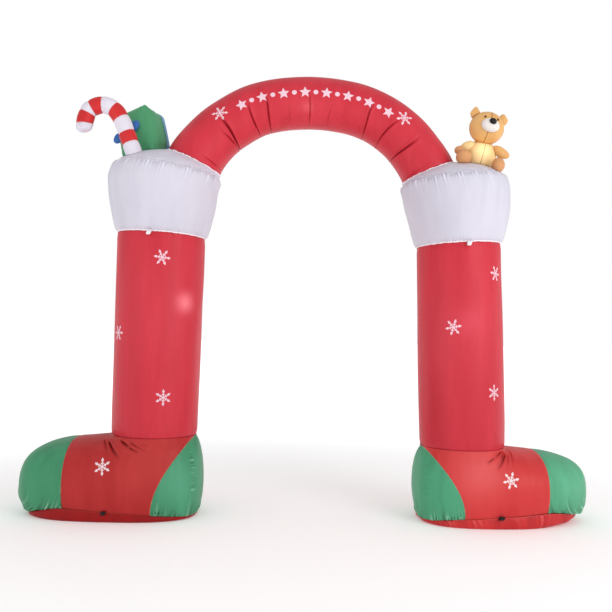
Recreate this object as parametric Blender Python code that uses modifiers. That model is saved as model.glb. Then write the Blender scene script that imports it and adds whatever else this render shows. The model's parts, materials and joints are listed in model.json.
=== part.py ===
# A walk-through inflatable arch: two tall boots with cuffs, joined by an arched tube.
# Metres, +Z up. X runs across the walkway, the front faces -Y, and the soles rest on Z = 0.
# Left and right are as seen from the front.
# Every air-filled panel is one closed solid, parted from its neighbours along the seams.

import math
from collections import namedtuple

import bmesh
import bpy
from mathutils import Matrix, Vector

# Gaps and edges
SEAM_GAP = 0.0003
CARVE_GAP = 0.0008
SMOOTH_ANGLE = math.radians(40)

# Points round each tube
AROUND_LEG = 28
AROUND_CUFF = 36
AROUND_ARCH = 22
AROUND_CANE = 12
AROUND_SOLE = 40

# One boot. Lengths along the foot are measured from the ankle's centre towards the toe, and the foot is
# turned by yaw about the ankle.
Boot = namedtuple(
    "Boot",
    "side toe_way yaw ankle_x ankle_z ankle_radius heel_reach toe_reach tip_z tip_power half_depth "
    "sole_z sole_slope toe_dip heel_dip sole_tuck toe_seam heel_seam plan_power "
    "leg_top_x leg_top_z leg_top_radius leg_top_slope",
)
BOOTS = (
    Boot("left", -1, math.radians(-1), -0.813, 0.426, 0.228, 0.268, 0.710, 0.125, 1.5, 0.276,
         0.036, 0.068, 0.071, 0.011, 1.0, 0.420, 0.034, 2.8, -0.801, 1.504, 0.236, -0.050),
    Boot("right", 1, math.radians(5), 0.858, 0.394, 0.227, 0.262, 0.684, 0.145, 2.8, 0.276,
         0.049, 0.070, 0.055, 0.021, 4.2, 0.395, 0.044, 2.15, 0.8255, 1.480, 0.226, 0.058),
)
SEAM_HALF_DEPTH = 0.252
WIDEST_Z = 0.175
WIDEST_ALONG = 0.22
SOLE_TIP_INSET = 0.055
SOLE_DROP = 0.0006
HEEL_DIP_FROM = -0.06
DIP_POWER = 1.4
INSTEP_SLOPE = 0.13
HEEL_TUCK = 0.026
OUTLINE_POWER = 2.9
HEEL_PLAN_POWER = 2.8
CROWN_POWER = 2.3
HEEL_SEAM_POWER = 1.75
HEEL_RISE_POWER = 2.2
CREASE_SHARE = 0.3

# Columns and rows of the boot panels
VAMP_ANKLE_COLUMNS = 14
VAMP_TOE_COLUMNS = 5
VAMP_ROWS = 11
TOE_COLUMNS = 7
TOE_TIP_SHARES = (0.45, 0.85, 1.0)
TOE_ROWS = 9
HEEL_COLUMNS = 6
HEEL_ROWS = 10

# The side strip of the sole, from the floor up: share of the seam's height, and how far its long sides
# and its ends are drawn in.
SoleRing = namedtuple("SoleRing", "height side_inset end_inset")
SOLE_RINGS = (
    SoleRing(0.0, 0.007, 0.024),
    SoleRing(0.14, 0.000, 0.014),
    SoleRing(0.55, -0.004, 0.004),
    SoleRing(1.0, 0.0, 0.0),
)

# Soft creases on the vamp, fanning out from the ankle: start and end along the foot and in height.
Crease = namedtuple("Crease", "along_a z_a along_b z_b depth width")
VAMP_CREASES = {
    "left": (
        Crease(0.225, 0.400, 0.110, 0.290, 0.011, 0.020),
        Crease(0.215, 0.395, 0.020, 0.360, 0.009, 0.016),
        Crease(0.235, 0.385, 0.300, 0.270, 0.009, 0.020),
    ),
    "right": (
        Crease(0.220, 0.375, 0.080, 0.280, 0.011, 0.020),
        Crease(0.205, 0.375, 0.000, 0.330, 0.009, 0.016),
        Crease(0.235, 0.360, 0.290, 0.250, 0.009, 0.020),
    ),
}

# Leg tube: share of the height, and the change of radius there.
LegRing = namedtuple("LegRing", "height swell")
LEG_RINGS = (
    LegRing(0.0, -0.004),
    LegRing(0.025, 0.001),
    LegRing(0.12, 0.003),
    LegRing(0.40, 0.003),
    LegRing(0.70, 0.002),
    LegRing(0.97, 0.001),
    LegRing(1.0, -0.003),
)

# One cuff. The lower seam is the leg's top seam. The upper ring is the gathered seam of the top panel.
Cuff = namedtuple(
    "Cuff", "side upper_x upper_z upper_radius upper_slope middle_x widest_radius ripple_turn"
)
CUFFS = (
    Cuff("left", -0.7735, 1.862, 0.2790, -0.140, -0.799, 0.2990, 0.4),
    Cuff("right", 0.7880, 1.838, 0.2700, 0.115, 0.8090, 0.2905, 1.9),
)
# Side panel of a cuff: share of its height, and share of the way out from the seam's radius to the widest.
BandRing = namedtuple("BandRing", "height spread ripple")
BAND_RINGS = (
    BandRing(0.0, 0.0, 0.2),
    BandRing(0.045, 0.20, 0.6),
    BandRing(0.13, 0.37, 0.7),
    BandRing(0.30, 0.60, 0.3),
    BandRing(0.50, 0.83, 0.1),
    BandRing(0.70, 0.97, 0.1),
    BandRing(0.85, 1.0, 0.6),
    BandRing(0.95, 0.91, 1.0),
)
CUFF_RIPPLE = 0.0035
UPPER_RIPPLE = 0.0021
# The surface that clears whatever stands on a cuff, from the lowest ring up.
SkirtRing = namedtuple("SkirtRing", "drop towards_upper stand_off")
SKIRT_RINGS = (
    SkirtRing(0.225, 0.0, 0.012),
    SkirtRing(0.080, 0.0, 0.010),
    SkirtRing(0.048, 0.4, 0.008),
    SkirtRing(0.018, 0.75, 0.001),
)
# Top panel of a cuff: how far it domes over a panel of the given width.
TOP_STEPS = 4
TOP_CROWN = 0.022
TOP_CROWN_WIDTH = 0.25
TOP_CROWN_LEAN = 0.35

# Arched tube: points on its centre line, with its half width in the arch's plane.
ArchPoint = namedtuple("ArchPoint", "x z half_width")
ARCH_POINTS = (
    ArchPoint(-0.633, 1.908, 0.157),
    ArchPoint(-0.556, 2.022, 0.149),
    ArchPoint(-0.452, 2.119, 0.144),
    ArchPoint(-0.278, 2.215, 0.141),
    ArchPoint(-0.030, 2.252, 0.142),
    ArchPoint(0.210, 2.233, 0.140),
    ArchPoint(0.368, 2.178, 0.139),
    ArchPoint(0.500, 2.085, 0.142),
    ArchPoint(0.588, 1.984, 0.144),
    ArchPoint(0.6545, 1.8755, 0.149),
)
ARCH_LEFT_SEAM_SLOPE = -0.458
ARCH_RIGHT_SEAM_SLOPE = 0.415
ARCH_DEPTH_RATIO = 1.04
ARCH_RINGS = 30
ARCH_SEAM_DRAW = 0.001
ARCH_RING_CLEAR = 0.02
# Creases across the tube's inner half: place along the tube from left to right, depth and half width.
ArchFold = namedtuple("ArchFold", "place depth half_width")
ARCH_FOLDS = (
    ArchFold(0.085, 0.010, 0.016),
    ArchFold(0.145, 0.013, 0.018),
    ArchFold(0.270, 0.014, 0.018),
    ArchFold(0.325, 0.011, 0.016),
    ArchFold(0.455, 0.009, 0.018),
    ArchFold(0.590, 0.009, 0.016),
    ArchFold(0.665, 0.013, 0.018),
    ArchFold(0.745, 0.012, 0.016),
    ArchFold(0.815, 0.014, 0.018),
    ArchFold(0.905, 0.010, 0.016),
)

# Sweet cane: the seams between its lengths, from the hooked tip down to the foot in the cuff.
CanePoint = namedtuple("CanePoint", "x z")
CANE_POINTS = (
    CanePoint(-1.190, 2.040),
    CanePoint(-1.203, 2.081),
    CanePoint(-1.188, 2.139),
    CanePoint(-1.164, 2.166),
    CanePoint(-1.109, 2.185),
    CanePoint(-1.050, 2.164),
    CanePoint(-1.010, 2.113),
    CanePoint(-0.978, 2.039),
    CanePoint(-0.956, 1.982),
    CanePoint(-0.936, 1.930),
)
CANE_Y = -0.135
CANE_RADIUS = 0.045
CANE_STEPS = 4
CANE_WAIST = 0.90
CANE_TIP = 0.30

# Gift box, leaning back and to the left on the cuff
BOX_SIDE = 0.205
BOX_HEIGHT = 0.300
BOX_CENTRE = Vector((-0.929, 0.085, 2.051))
BOX_YAW = math.radians(-20)
BOX_LEAN_BACK = math.radians(-13)
BOX_LEAN_LEFT = math.radians(-14)
BOX_BULGE = 0.016
BOX_CUTS = 5
RIBBON_WIDTH = 0.044
RIBBON_ACROSS = 0.48
RIBBON_THICK = 0.0015
RIBBON_STAND_OFF = 0.0014
RIBBON_FROM = -0.62
RIBBON_TO = 0.97
RIBBON_STEPS = 8
BOW_LOOP_SIZE = Vector((0.040, 0.020, 0.028))
BOW_KNOT_SIZE = Vector((0.020, 0.018, 0.022))
BOW_ACROSS = -0.012
BOW_UP = 0.010
BOW_SEGMENTS = 12
BOW_RINGS = 8
BowLoop = namedtuple("BowLoop", "side across up turn")
BOW_LOOPS = (
    BowLoop("left", -0.062, -0.018, 24),
    BowLoop("right", 0.050, 0.020, 30),
)

# Bear: one ellipsoid for each stuffed piece, by its centre, half sizes and turn about Y in degrees
Ellipsoid = namedtuple("Ellipsoid", "centre half turn_y segments rings")
BEAR_LEAN = 14
BEAR = {
    "torso": Ellipsoid((0.930, -0.045, 1.965), (0.088, 0.078, 0.098), BEAR_LEAN, 20, 12),
    "head": Ellipsoid((0.955, -0.080, 2.113), (0.096, 0.088, 0.090), BEAR_LEAN, 22, 12),
    "muzzle": Ellipsoid((0.957, -0.158, 2.108), (0.052, 0.034, 0.039), BEAR_LEAN, 16, 8),
    "nose": Ellipsoid((0.964, -0.192, 2.122), (0.018, 0.010, 0.014), BEAR_LEAN, 12, 6),
    "eye_left": Ellipsoid((0.933, -0.150, 2.152), (0.009, 0.007, 0.010), BEAR_LEAN, 10, 6),
    "eye_right": Ellipsoid((0.996, -0.148, 2.139), (0.009, 0.007, 0.010), BEAR_LEAN, 10, 6),
    "ear_left": Ellipsoid((0.899, -0.065, 2.192), (0.030, 0.016, 0.038), -20, 12, 8),
    "ear_right": Ellipsoid((1.043, -0.062, 2.160), (0.031, 0.016, 0.034), 52, 12, 8),
    "arm_left": Ellipsoid((0.852, -0.085, 2.012), (0.046, 0.028, 0.027), -25, 12, 8),
    "hand_left": Ellipsoid((0.803, -0.105, 1.986), (0.027, 0.027, 0.023), -25, 12, 8),
    "arm_right": Ellipsoid((1.032, -0.080, 1.982), (0.058, 0.031, 0.029), 32, 12, 8),
    "foot_left": Ellipsoid((0.820, -0.150, 1.938), (0.043, 0.052, 0.043), 0, 14, 8),
    "foot_right": Ellipsoid((1.000, -0.160, 1.896), (0.036, 0.048, 0.041), 0, 14, 8),
}
BELLY_SEAM_Y = -0.070

# Webbing loops: width along X, and half sizes of the ring that the strap makes
WEB_THICK = 0.0016
LOOP_POINTS = 16
LOOP_SAG = 0.25
WebLoop = namedtuple("WebLoop", "name x y z width half_y half_z")
WEB_LOOPS = (
    WebLoop("tether_loop_left", -0.822, -0.2535, 1.4920, 0.030, 0.0110, 0.0125),
    WebLoop("tether_loop_right", 0.837, -0.2430, 1.4680, 0.026, 0.0110, 0.0135),
    WebLoop("peg_loop_left", -1.018, -0.2598, 0.0500, 0.024, 0.0085, 0.0085),
    WebLoop("peg_loop_right", 1.017, -0.2528, 0.0600, 0.028, 0.0085, 0.0085),
)

# Cloth colours
CRIMSON = (0.60, 0.030, 0.050)
SCARLET = (0.52, 0.020, 0.022)
DARK_RED = (0.34, 0.008, 0.012)
GREEN = (0.055, 0.290, 0.140)
CUFF_WHITE = (0.80, 0.78, 0.86)
CANE_RED = (0.62, 0.020, 0.028)
BOX_GREEN = (0.060, 0.330, 0.150)
RIBBON_BLUE = (0.110, 0.330, 0.560)
BOW_BLUE = (0.030, 0.130, 0.450)
BEAR_TAN = (0.580, 0.280, 0.090)
BELLY_YELLOW = (0.900, 0.680, 0.300)
MUZZLE_WHITE = (0.88, 0.86, 0.84)
NEAR_BLACK = (0.012, 0.010, 0.010)


def remove_scene_objects():
    for thing in list(bpy.context.scene.objects):
        bpy.data.objects.remove(thing, do_unlink=True)


def make_collection(name):
    collection = bpy.data.collections.new(name)
    bpy.context.scene.collection.children.link(collection)
    return collection


remove_scene_objects()
PARTS = make_collection("inflatable_arch")
CUTTERS = make_collection("cutters")


def cloth(name, colour, roughness=0.55):
    material = bpy.data.materials.get(name)
    if material is None:
        material = bpy.data.materials.new(name)
        material.use_nodes = True
        shader = material.node_tree.nodes["Principled BSDF"]
        shader.inputs["Base Color"].default_value = (*colour, 1.0)
        shader.inputs["Roughness"].default_value = roughness
        shader.inputs["Metallic"].default_value = 0.0
    return material


def finish_mesh(shape, name, material, collection=None):
    """Welds a bmesh, turns its faces outwards and makes it an object."""
    bmesh.ops.triangulate(shape, faces=shape.faces, quad_method="FIXED")
    bmesh.ops.remove_doubles(shape, verts=shape.verts, dist=1e-6)
    bmesh.ops.recalc_face_normals(shape, faces=shape.faces)
    mesh = bpy.data.meshes.new(name)
    shape.to_mesh(mesh)
    shape.free()
    mesh.shade_smooth()
    mesh.set_sharp_from_angle(angle=SMOOTH_ANGLE)
    if material is not None:
        mesh.materials.append(material)
    thing = bpy.data.objects.new(name, mesh)
    (collection or PARTS).objects.link(thing)
    return thing


def mix(a, b, share):
    return a + (b - a) * share


def smooth_step(low, high, value):
    share = min(1.0, max(0.0, (value - low) / (high - low)))
    return share * share * (3.0 - 2.0 * share)


def rounded(share, power):
    """Height of a superellipse of unit size, share of the way out from its centre."""
    return (1.0 - min(1.0, abs(share)) ** power) ** (1.0 / power)


def loft(name, rings, material, collection=None):
    """A closed solid through rings of equal count, with a fan over each end."""
    shape = bmesh.new()
    rows = [[shape.verts.new(point) for point in ring] for ring in rings]
    count = len(rows[0])
    for lower, upper in zip(rows, rows[1:]):
        for k in range(count):
            after = (k + 1) % count
            shape.faces.new((lower[k], lower[after], upper[after], upper[k]))
    for row in (rows[0], rows[-1]):
        middle = sum((vert.co for vert in row), Vector()) / count
        hub = shape.verts.new(middle)
        for k in range(count):
            shape.faces.new((row[k], row[(k + 1) % count], hub))
    return finish_mesh(shape, name, material, collection)


def tilted_ring(centre_x, centre_z, slope, half_x, half_y, count, lift=0.0):
    """A level-looking ring whose plane climbs by slope along X. half_x lies in that plane."""
    run = 1.0 / math.sqrt(1.0 + slope * slope)
    points = []
    for k in range(count):
        angle = 2.0 * math.pi * k / count
        out = half_x * math.cos(angle)
        points.append(Vector((
            centre_x + out * run - lift * slope * run,
            half_y * math.sin(angle),
            centre_z + out * run * slope + lift * run,
        )))
    return points


# Boots


def sole_height(boot, along):
    """The sole seam's height, dipping towards the toe and the heel."""
    seam_tip = boot.toe_reach - SOLE_TIP_INSET
    to_toe = min(1.0, max(0.0, (along - boot.toe_seam) / (seam_tip - boot.toe_seam)))
    to_heel = min(1.0, max(0.0, (HEEL_DIP_FROM - along) / (HEEL_DIP_FROM + boot.heel_reach)))
    dip = boot.toe_dip * to_toe ** DIP_POWER + boot.heel_dip * to_heel ** DIP_POWER
    return boot.sole_z + boot.sole_slope * along - dip


def toe_end(boot, along, z):
    """How far the foot reaches towards the toe at height z."""
    reach = boot.toe_reach
    if z >= boot.tip_z:
        share = (z - boot.tip_z) / (boot.ankle_z - boot.tip_z)
        return mix(boot.ankle_radius, reach, rounded(share, OUTLINE_POWER))
    share = (boot.tip_z - z) / (boot.tip_z - sole_height(boot, along))
    return reach - SOLE_TIP_INSET * (1.0 - rounded(share, boot.tip_power))


def heel_end(boot, along, z):
    """How far the foot reaches behind the ankle at height z, as a negative length."""
    if z >= WIDEST_Z:
        share = (z - WIDEST_Z) / (boot.ankle_z - WIDEST_Z)
        return -mix(boot.heel_reach, boot.ankle_radius, share ** HEEL_RISE_POWER)
    share = (WIDEST_Z - z) / (WIDEST_Z - sole_height(boot, along))
    return -boot.heel_reach + HEEL_TUCK * share * share


def instep_drop(boot, along):
    """How far the instep falls below the ankle's level on its way to the toe."""
    past_ankle = max(0.0, along - boot.ankle_radius)
    return INSTEP_SLOPE * past_ankle * (1.0 - past_ankle / (boot.toe_reach - boot.ankle_radius))


def foot_top(boot, along):
    if along <= boot.ankle_radius:
        return boot.ankle_z
    share = (along - boot.ankle_radius) / (boot.toe_reach - boot.ankle_radius)
    return mix(boot.tip_z, boot.ankle_z, rounded(share, OUTLINE_POWER)) - instep_drop(boot, along)


def foot_bottom(boot, along):
    """The sole seam's height, rising round the tip of the toe."""
    seam = sole_height(boot, along)
    seam_tip = boot.toe_reach - SOLE_TIP_INSET
    if along <= seam_tip:
        return seam
    share = (along - seam_tip) / SOLE_TIP_INSET
    return boot.tip_z - (boot.tip_z - seam) * rounded(share, boot.tip_power)


def crease_depth(boot, along, z):
    deepest = 0.0
    for crease in VAMP_CREASES[boot.side]:
        start = Vector((crease.along_a, crease.z_a))
        run = Vector((crease.along_b, crease.z_b)) - start
        offset = Vector((along, z)) - start
        share = min(1.0, max(0.0, offset.dot(run) / run.length_squared))
        away = (offset - run * share).length / crease.width
        deepest = max(deepest, crease.depth * math.exp(-away * away) * (1.0 - 0.5 * share))
    return deepest


def plan_power(boot, along):
    return boot.plan_power if along > WIDEST_ALONG else HEEL_PLAN_POWER


def foot_half_depth(boot, along, z):
    """Half the foot's depth at a place along it and a height, with the leg's tube blended in."""
    if z > WIDEST_Z:
        rise = (z - WIDEST_Z) / (foot_top(boot, along) - WIDEST_Z)
        z = min(boot.ankle_z, z + instep_drop(boot, along) * rise)
    if z >= WIDEST_Z:
        share = (z - WIDEST_Z) / (boot.ankle_z - WIDEST_Z)
        depth = boot.half_depth * rounded(share, CROWN_POWER)
    else:
        share = (WIDEST_Z - z) / (WIDEST_Z - sole_height(boot, along))
        depth = mix(boot.half_depth, SEAM_HALF_DEPTH, share * share)
    if along > WIDEST_ALONG:
        out = (along - WIDEST_ALONG) / (toe_end(boot, along, z) - WIDEST_ALONG)
    else:
        out = (WIDEST_ALONG - along) / (WIDEST_ALONG - heel_end(boot, along, z))
    foot = depth * rounded(out, plan_power(boot, along))
    inside = boot.ankle_radius ** 2 - along ** 2
    leg = math.sqrt(max(0.0, inside)) * smooth_step(WIDEST_Z, boot.ankle_z, z)
    return (foot ** 4 + leg ** 4) ** 0.25


def foot_place(boot, along, side, z):
    turned = Matrix.Rotation(boot.yaw, 3, "Z") @ Vector((boot.toe_way * along, side, z))
    return turned + Vector((boot.ankle_x, 0.0, 0.0))


def panel_solid(name, boot, columns, material):
    """A closed solid from columns of (along, half depth, z) points, the same front and back."""
    shape = bmesh.new()
    sheets = []
    for face_way in (-1, 1):
        sheets.append([
            [shape.verts.new(foot_place(boot, along, face_way * depth, z)) for along, depth, z in column]
            for column in columns
        ])
    front, back = sheets
    last_column, last_row = len(columns) - 1, len(columns[0]) - 1
    for sheet in sheets:
        for i in range(last_column):
            for j in range(last_row):
                shape.faces.new((sheet[i][j], sheet[i + 1][j], sheet[i + 1][j + 1], sheet[i][j + 1]))
    for i in range(last_column):
        for j in (0, last_row):
            shape.faces.new((front[i][j], front[i + 1][j], back[i + 1][j], back[i][j]))
    for j in range(last_row):
        for i in (0, last_column):
            shape.faces.new((front[i][j], front[i][j + 1], back[i][j + 1], back[i][j]))
    bmesh.ops.remove_doubles(shape, verts=shape.verts, dist=1e-5)
    bmesh.ops.dissolve_degenerate(shape, edges=shape.edges, dist=1e-6)
    return finish_mesh(shape, name, material)


def heel_seam_along(boot, height):
    return -mix(boot.heel_seam, boot.ankle_radius, height ** HEEL_SEAM_POWER)


def eased_shares(count):
    """Shares from 0 to 1 that crowd towards 1."""
    return [math.sin(0.5 * math.pi * j / count) for j in range(count + 1)]


def foot_point(boot, along, height, lift=0.0, creased=False):
    low = foot_bottom(boot, along) + lift
    high = foot_top(boot, along)
    z = mix(low, high, height)
    depth = foot_half_depth(boot, along, z)
    if creased:
        depth = max(0.0, depth - min(crease_depth(boot, along, z), CREASE_SHARE * depth))
    return along, depth, z


def make_vamp(boot):
    radius = boot.ankle_radius
    turns = [math.pi * k / VAMP_ANKLE_COLUMNS for k in range(VAMP_ANKLE_COLUMNS + 1)]
    across_ankle = [-radius * math.cos(turn) for turn in turns]
    to_toe = [mix(radius, boot.toe_seam, k / VAMP_TOE_COLUMNS) for k in range(1, VAMP_TOE_COLUMNS + 1)]
    top_places = across_ankle + to_toe
    span = boot.toe_seam + radius
    columns = []
    for place in top_places:
        share = (place + radius) / span
        column = []
        for height in eased_shares(VAMP_ROWS):
            heel = heel_seam_along(boot, height) + SEAM_GAP
            along = mix(heel, boot.toe_seam - SEAM_GAP, share)
            column.append(foot_point(boot, along, height, SEAM_GAP, creased=True))
        columns.append(column)
    # The rear edge of the vamp's top closes on the foot's middle plane.
    along, _, z = columns[0][-1]
    columns[0][-1] = (along, 0.0, z)
    panel_solid("vamp_" + boot.side, boot, columns, cloth("scarlet_nylon", SCARLET))


def make_toe(boot):
    seam_tip = boot.toe_reach - SOLE_TIP_INSET
    places = [mix(boot.toe_seam + SEAM_GAP, seam_tip, share) for share in eased_shares(TOE_COLUMNS)]
    places += [seam_tip + SOLE_TIP_INSET * share for share in TOE_TIP_SHARES]
    columns = [
        [foot_point(boot, along, height, SEAM_GAP) for height in eased_shares(TOE_ROWS)]
        for along in places
    ]
    panel_solid("toe_" + boot.side, boot, columns, cloth("green_nylon", GREEN))


def make_heel(boot):
    columns = []
    for share in eased_shares(HEEL_COLUMNS):
        column = []
        for height in eased_shares(HEEL_ROWS):
            seam = heel_seam_along(boot, height)
            z = mix(sole_height(boot, -boot.heel_reach) + SEAM_GAP, boot.ankle_z - SEAM_GAP, height)
            end = heel_end(boot, -boot.heel_reach, z)
            along = mix(min(seam - SEAM_GAP, 0.0), min(end, seam - 2 * SEAM_GAP), share)
            low = sole_height(boot, along) + SEAM_GAP
            z = mix(low, boot.ankle_z - SEAM_GAP, height)
            depth = foot_half_depth(boot, along, z) if share < 1.0 and height < 1.0 else 0.0
            column.append((along, depth, z))
        columns.append(column)
    panel_solid("heel_" + boot.side, boot, columns, cloth("green_nylon", GREEN))


def make_sole(boot):
    rings = []
    seam_toe = boot.toe_reach - SOLE_TIP_INSET
    seam_heel = heel_end(boot, -boot.heel_reach, sole_height(boot, -boot.heel_reach))
    for row in SOLE_RINGS:
        ring = []
        for k in range(AROUND_SOLE):
            angle = 2.0 * math.pi * k / AROUND_SOLE
            across, up = math.cos(angle), math.sin(angle)
            reach = seam_toe - WIDEST_ALONG if across > 0 else WIDEST_ALONG - seam_heel
            power = 2.0 / plan_power(boot, WIDEST_ALONG + across)
            inset = row.end_inset * (boot.sole_tuck if across > 0 else 1.0)
            out = (reach - inset) * math.copysign(abs(across) ** power, across)
            along = WIDEST_ALONG + out
            side = (SEAM_HALF_DEPTH - row.side_inset) * math.copysign(abs(up) ** power, up)
            z = (sole_height(boot, along) - SOLE_DROP) * row.height
            ring.append(foot_place(boot, along, side, z))
        rings.append(ring)
    loft("sole_" + boot.side, rings, cloth("dark_red_nylon", DARK_RED))


def make_leg(boot):
    rings = []
    for row in LEG_RINGS:
        radius = mix(boot.ankle_radius, boot.leg_top_radius, row.height) + row.swell
        x = mix(boot.ankle_x, boot.leg_top_x, row.height)
        z = mix(boot.ankle_z + SEAM_GAP, boot.leg_top_z - SEAM_GAP, row.height)
        slope = boot.leg_top_slope * row.height
        rings.append(tilted_ring(x, z, slope, radius, radius, AROUND_LEG))
    loft("leg_" + boot.side, rings, cloth("crimson_nylon", CRIMSON))


# Cuffs


def ripple(cuff, angle):
    """Uneven gathers round a cuff, between -1 and 1."""
    turn = cuff.ripple_turn
    return 0.6 * math.sin(12 * angle + turn) + 0.4 * math.sin(9 * angle + 2.3 * turn)


def rippled(cuff, ring, centre, amount):
    points = []
    for k, point in enumerate(ring):
        angle = 2.0 * math.pi * k / len(ring)
        outward = Vector((point.x - centre[0], point.y, 0.0)).normalized()
        points.append(point + outward * ripple(cuff, angle) * amount)
    return points


def upper_ring(cuff, lift=0.0):
    ring = tilted_ring(cuff.upper_x, cuff.upper_z, cuff.upper_slope,
                       cuff.upper_radius, cuff.upper_radius, AROUND_CUFF, lift)
    return rippled(cuff, ring, (cuff.upper_x, 0.0), UPPER_RIPPLE)


def make_cuff_band(boot, cuff):
    rings = []
    for row in BAND_RINGS:
        radius = mix(boot.leg_top_radius, cuff.widest_radius, row.spread)
        towards_top = smooth_step(0.75, 1.05, row.height)
        x = mix(boot.leg_top_x, cuff.middle_x, smooth_step(0.35, 0.85, row.height))
        x = mix(x, cuff.upper_x, towards_top)
        z = mix(boot.leg_top_z + SEAM_GAP, cuff.upper_z, row.height)
        slope = mix(boot.leg_top_slope, cuff.upper_slope, row.height)
        ring = tilted_ring(x, z, slope, radius, radius, AROUND_CUFF)
        rings.append(rippled(cuff, ring, (x, 0.0), CUFF_RIPPLE * row.ripple))
    rings.append(upper_ring(cuff, -SEAM_GAP))
    loft("cuff_band_" + cuff.side, rings, cloth("white_nylon", CUFF_WHITE))


def arch_end(cuff):
    """The arch's end point in this cuff, and the slope of its seam there."""
    if cuff.side == "left":
        return ARCH_POINTS[0], ARCH_LEFT_SEAM_SLOPE
    return ARCH_POINTS[-1], ARCH_RIGHT_SEAM_SLOPE


def cuff_top_rings(cuff):
    """Rings of the domed top panel, from the gathered seam in to the arch's seam."""
    point, slope = arch_end(cuff)
    outer = upper_ring(cuff)
    inner = tilted_ring(point.x, point.z, slope, point.half_width,
                        point.half_width * ARCH_DEPTH_RATIO, AROUND_CUFF, -SEAM_GAP)
    rings = [outer]
    for step in range(1, TOP_STEPS):
        share = step / TOP_STEPS
        ring = []
        for a, b in zip(outer, inner):
            crown = TOP_CROWN * (b - a).length / TOP_CROWN_WIDTH
            crown *= 4.0 * share * (1.0 - share) * (1.0 - TOP_CROWN_LEAN * share)
            ring.append(a.lerp(b, share) + Vector((0.0, 0.0, crown)))
        rings.append(ring)
    rings.append(inner)
    return rings


def make_cuff_top(cuff):
    return loft("cuff_top_" + cuff.side, cuff_top_rings(cuff), cloth("white_nylon", CUFF_WHITE))


# Arched tube


def arch_spline():
    """Centre line through the arch's points, leaving each seam square to it."""
    points = [Vector((p.x, 0.0, p.z)) for p in ARCH_POINTS]
    ways = [(b - a) * 0.5 for a, b in zip(points, points[2:])]
    first = Vector((-ARCH_LEFT_SEAM_SLOPE, 0.0, 1.0)).normalized() * (points[1] - points[0]).length
    last = Vector((ARCH_RIGHT_SEAM_SLOPE, 0.0, -1.0)).normalized() * (points[-1] - points[-2]).length
    return points, [first, *ways, last]


def hermite(a, b, way_a, way_b, t):
    """Place and direction at a share t of a curve from a to b that leaves and arrives the given ways."""
    t2, t3 = t * t, t * t * t
    place = a * (2 * t3 - 3 * t2 + 1) + way_a * (t3 - 2 * t2 + t) + b * (3 * t2 - 2 * t3) + way_b * (t3 - t2)
    way = (a - b) * (6 * t2 - 6 * t) + way_a * (3 * t2 - 4 * t + 1) + way_b * (3 * t2 - 2 * t)
    return place, way.normalized()


def arch_place(share):
    """Centre, direction and half width at a share of the way along the arch."""
    points, ways = arch_spline()
    spans = [(b - a).length for a, b in zip(points, points[1:])]
    target = share * sum(spans)
    for k, span in enumerate(spans):
        if target <= span or k == len(spans) - 1:
            t = min(1.0, target / span)
            # Span lengths differ, so each end's direction is brought to this span's length.
            way_a = ways[k].normalized() * span
            way_b = ways[k + 1].normalized() * span
            place, way = hermite(points[k], points[k + 1], way_a, way_b, t)
            return place, way, mix(ARCH_POINTS[k].half_width, ARCH_POINTS[k + 1].half_width, t)
        target -= span


def arch_stations():
    """Ring places: even ones, and three at each fold."""
    folds = [fold.place + step * fold.half_width for fold in ARCH_FOLDS for step in (-1, 0, 1)]
    even = [k / ARCH_RINGS for k in range(ARCH_RINGS + 1)]
    kept = [
        place for place in even
        if place in (0.0, 1.0) or min(abs(place - fold) for fold in folds) > ARCH_RING_CLEAR
    ]
    return sorted(kept + folds)


def make_arch():
    rings = []
    for share in arch_stations():
        place, way, half = arch_place(share)
        if share == 0.0:
            way = Vector((-ARCH_LEFT_SEAM_SLOPE, 0.0, 1.0)).normalized()
        if share == 1.0:
            way = Vector((ARCH_RIGHT_SEAM_SLOPE, 0.0, -1.0)).normalized()
        outward = Vector((-way.z, 0.0, way.x))
        if share in (0.0, 1.0):
            half -= ARCH_SEAM_DRAW
        dip = sum(fold.depth * math.exp(-2.2 * ((share - fold.place) / fold.half_width) ** 2)
                  for fold in ARCH_FOLDS)
        ring = []
        for k in range(AROUND_ARCH):
            angle = 2.0 * math.pi * k / AROUND_ARCH
            up, side = math.cos(angle), math.sin(angle)
            inner = 0.5 - 0.5 * up
            radius = half - dip * (0.15 + 0.85 * inner)
            ring.append(place + outward * (up * radius) + Vector((0, side * radius * ARCH_DEPTH_RATIO, 0)))
        rings.append(ring)
    loft("arch_tube", rings, cloth("crimson_nylon", CRIMSON))


# Carving and stuffed shapes


def carve(thing, cutter):
    cutter.hide_render = True
    cutter.display_type = "WIRE"
    cut = thing.modifiers.new("carve", "BOOLEAN")
    cut.operation = "DIFFERENCE"
    cut.solver = "EXACT"
    cut.object = cutter


def make_cuff_cutter(cuff):
    """The whole cuff below its top panel's surface, standing off it by the carving gap."""
    skirt = []
    for row in SKIRT_RINGS:
        x = mix(cuff.middle_x, cuff.upper_x, row.towards_upper)
        radius = cuff.widest_radius + row.stand_off
        z = cuff.upper_z - row.drop
        skirt.append(tilted_ring(x, z, cuff.upper_slope, radius, radius, AROUND_CUFF))
    cutter = loft("cut_cuff_" + cuff.side, skirt + cuff_top_rings(cuff), None, CUTTERS)
    for vert, normal in [(v, v.normal.copy()) for v in cutter.data.vertices]:
        vert.co += normal * CARVE_GAP
    return cutter


def ellipsoid_shape(spec, grow=0.0):
    shape = bmesh.new()
    bmesh.ops.create_uvsphere(shape, u_segments=spec.segments, v_segments=spec.rings, radius=1.0)
    half = Vector(spec.half) + Vector((grow, grow, grow))
    turn = Matrix.Rotation(math.radians(spec.turn_y), 4, "Y")
    place = Matrix.Translation(spec.centre) @ turn @ Matrix.Diagonal((*half, 1.0))
    bmesh.ops.transform(shape, matrix=place, verts=shape.verts)
    return shape


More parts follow.
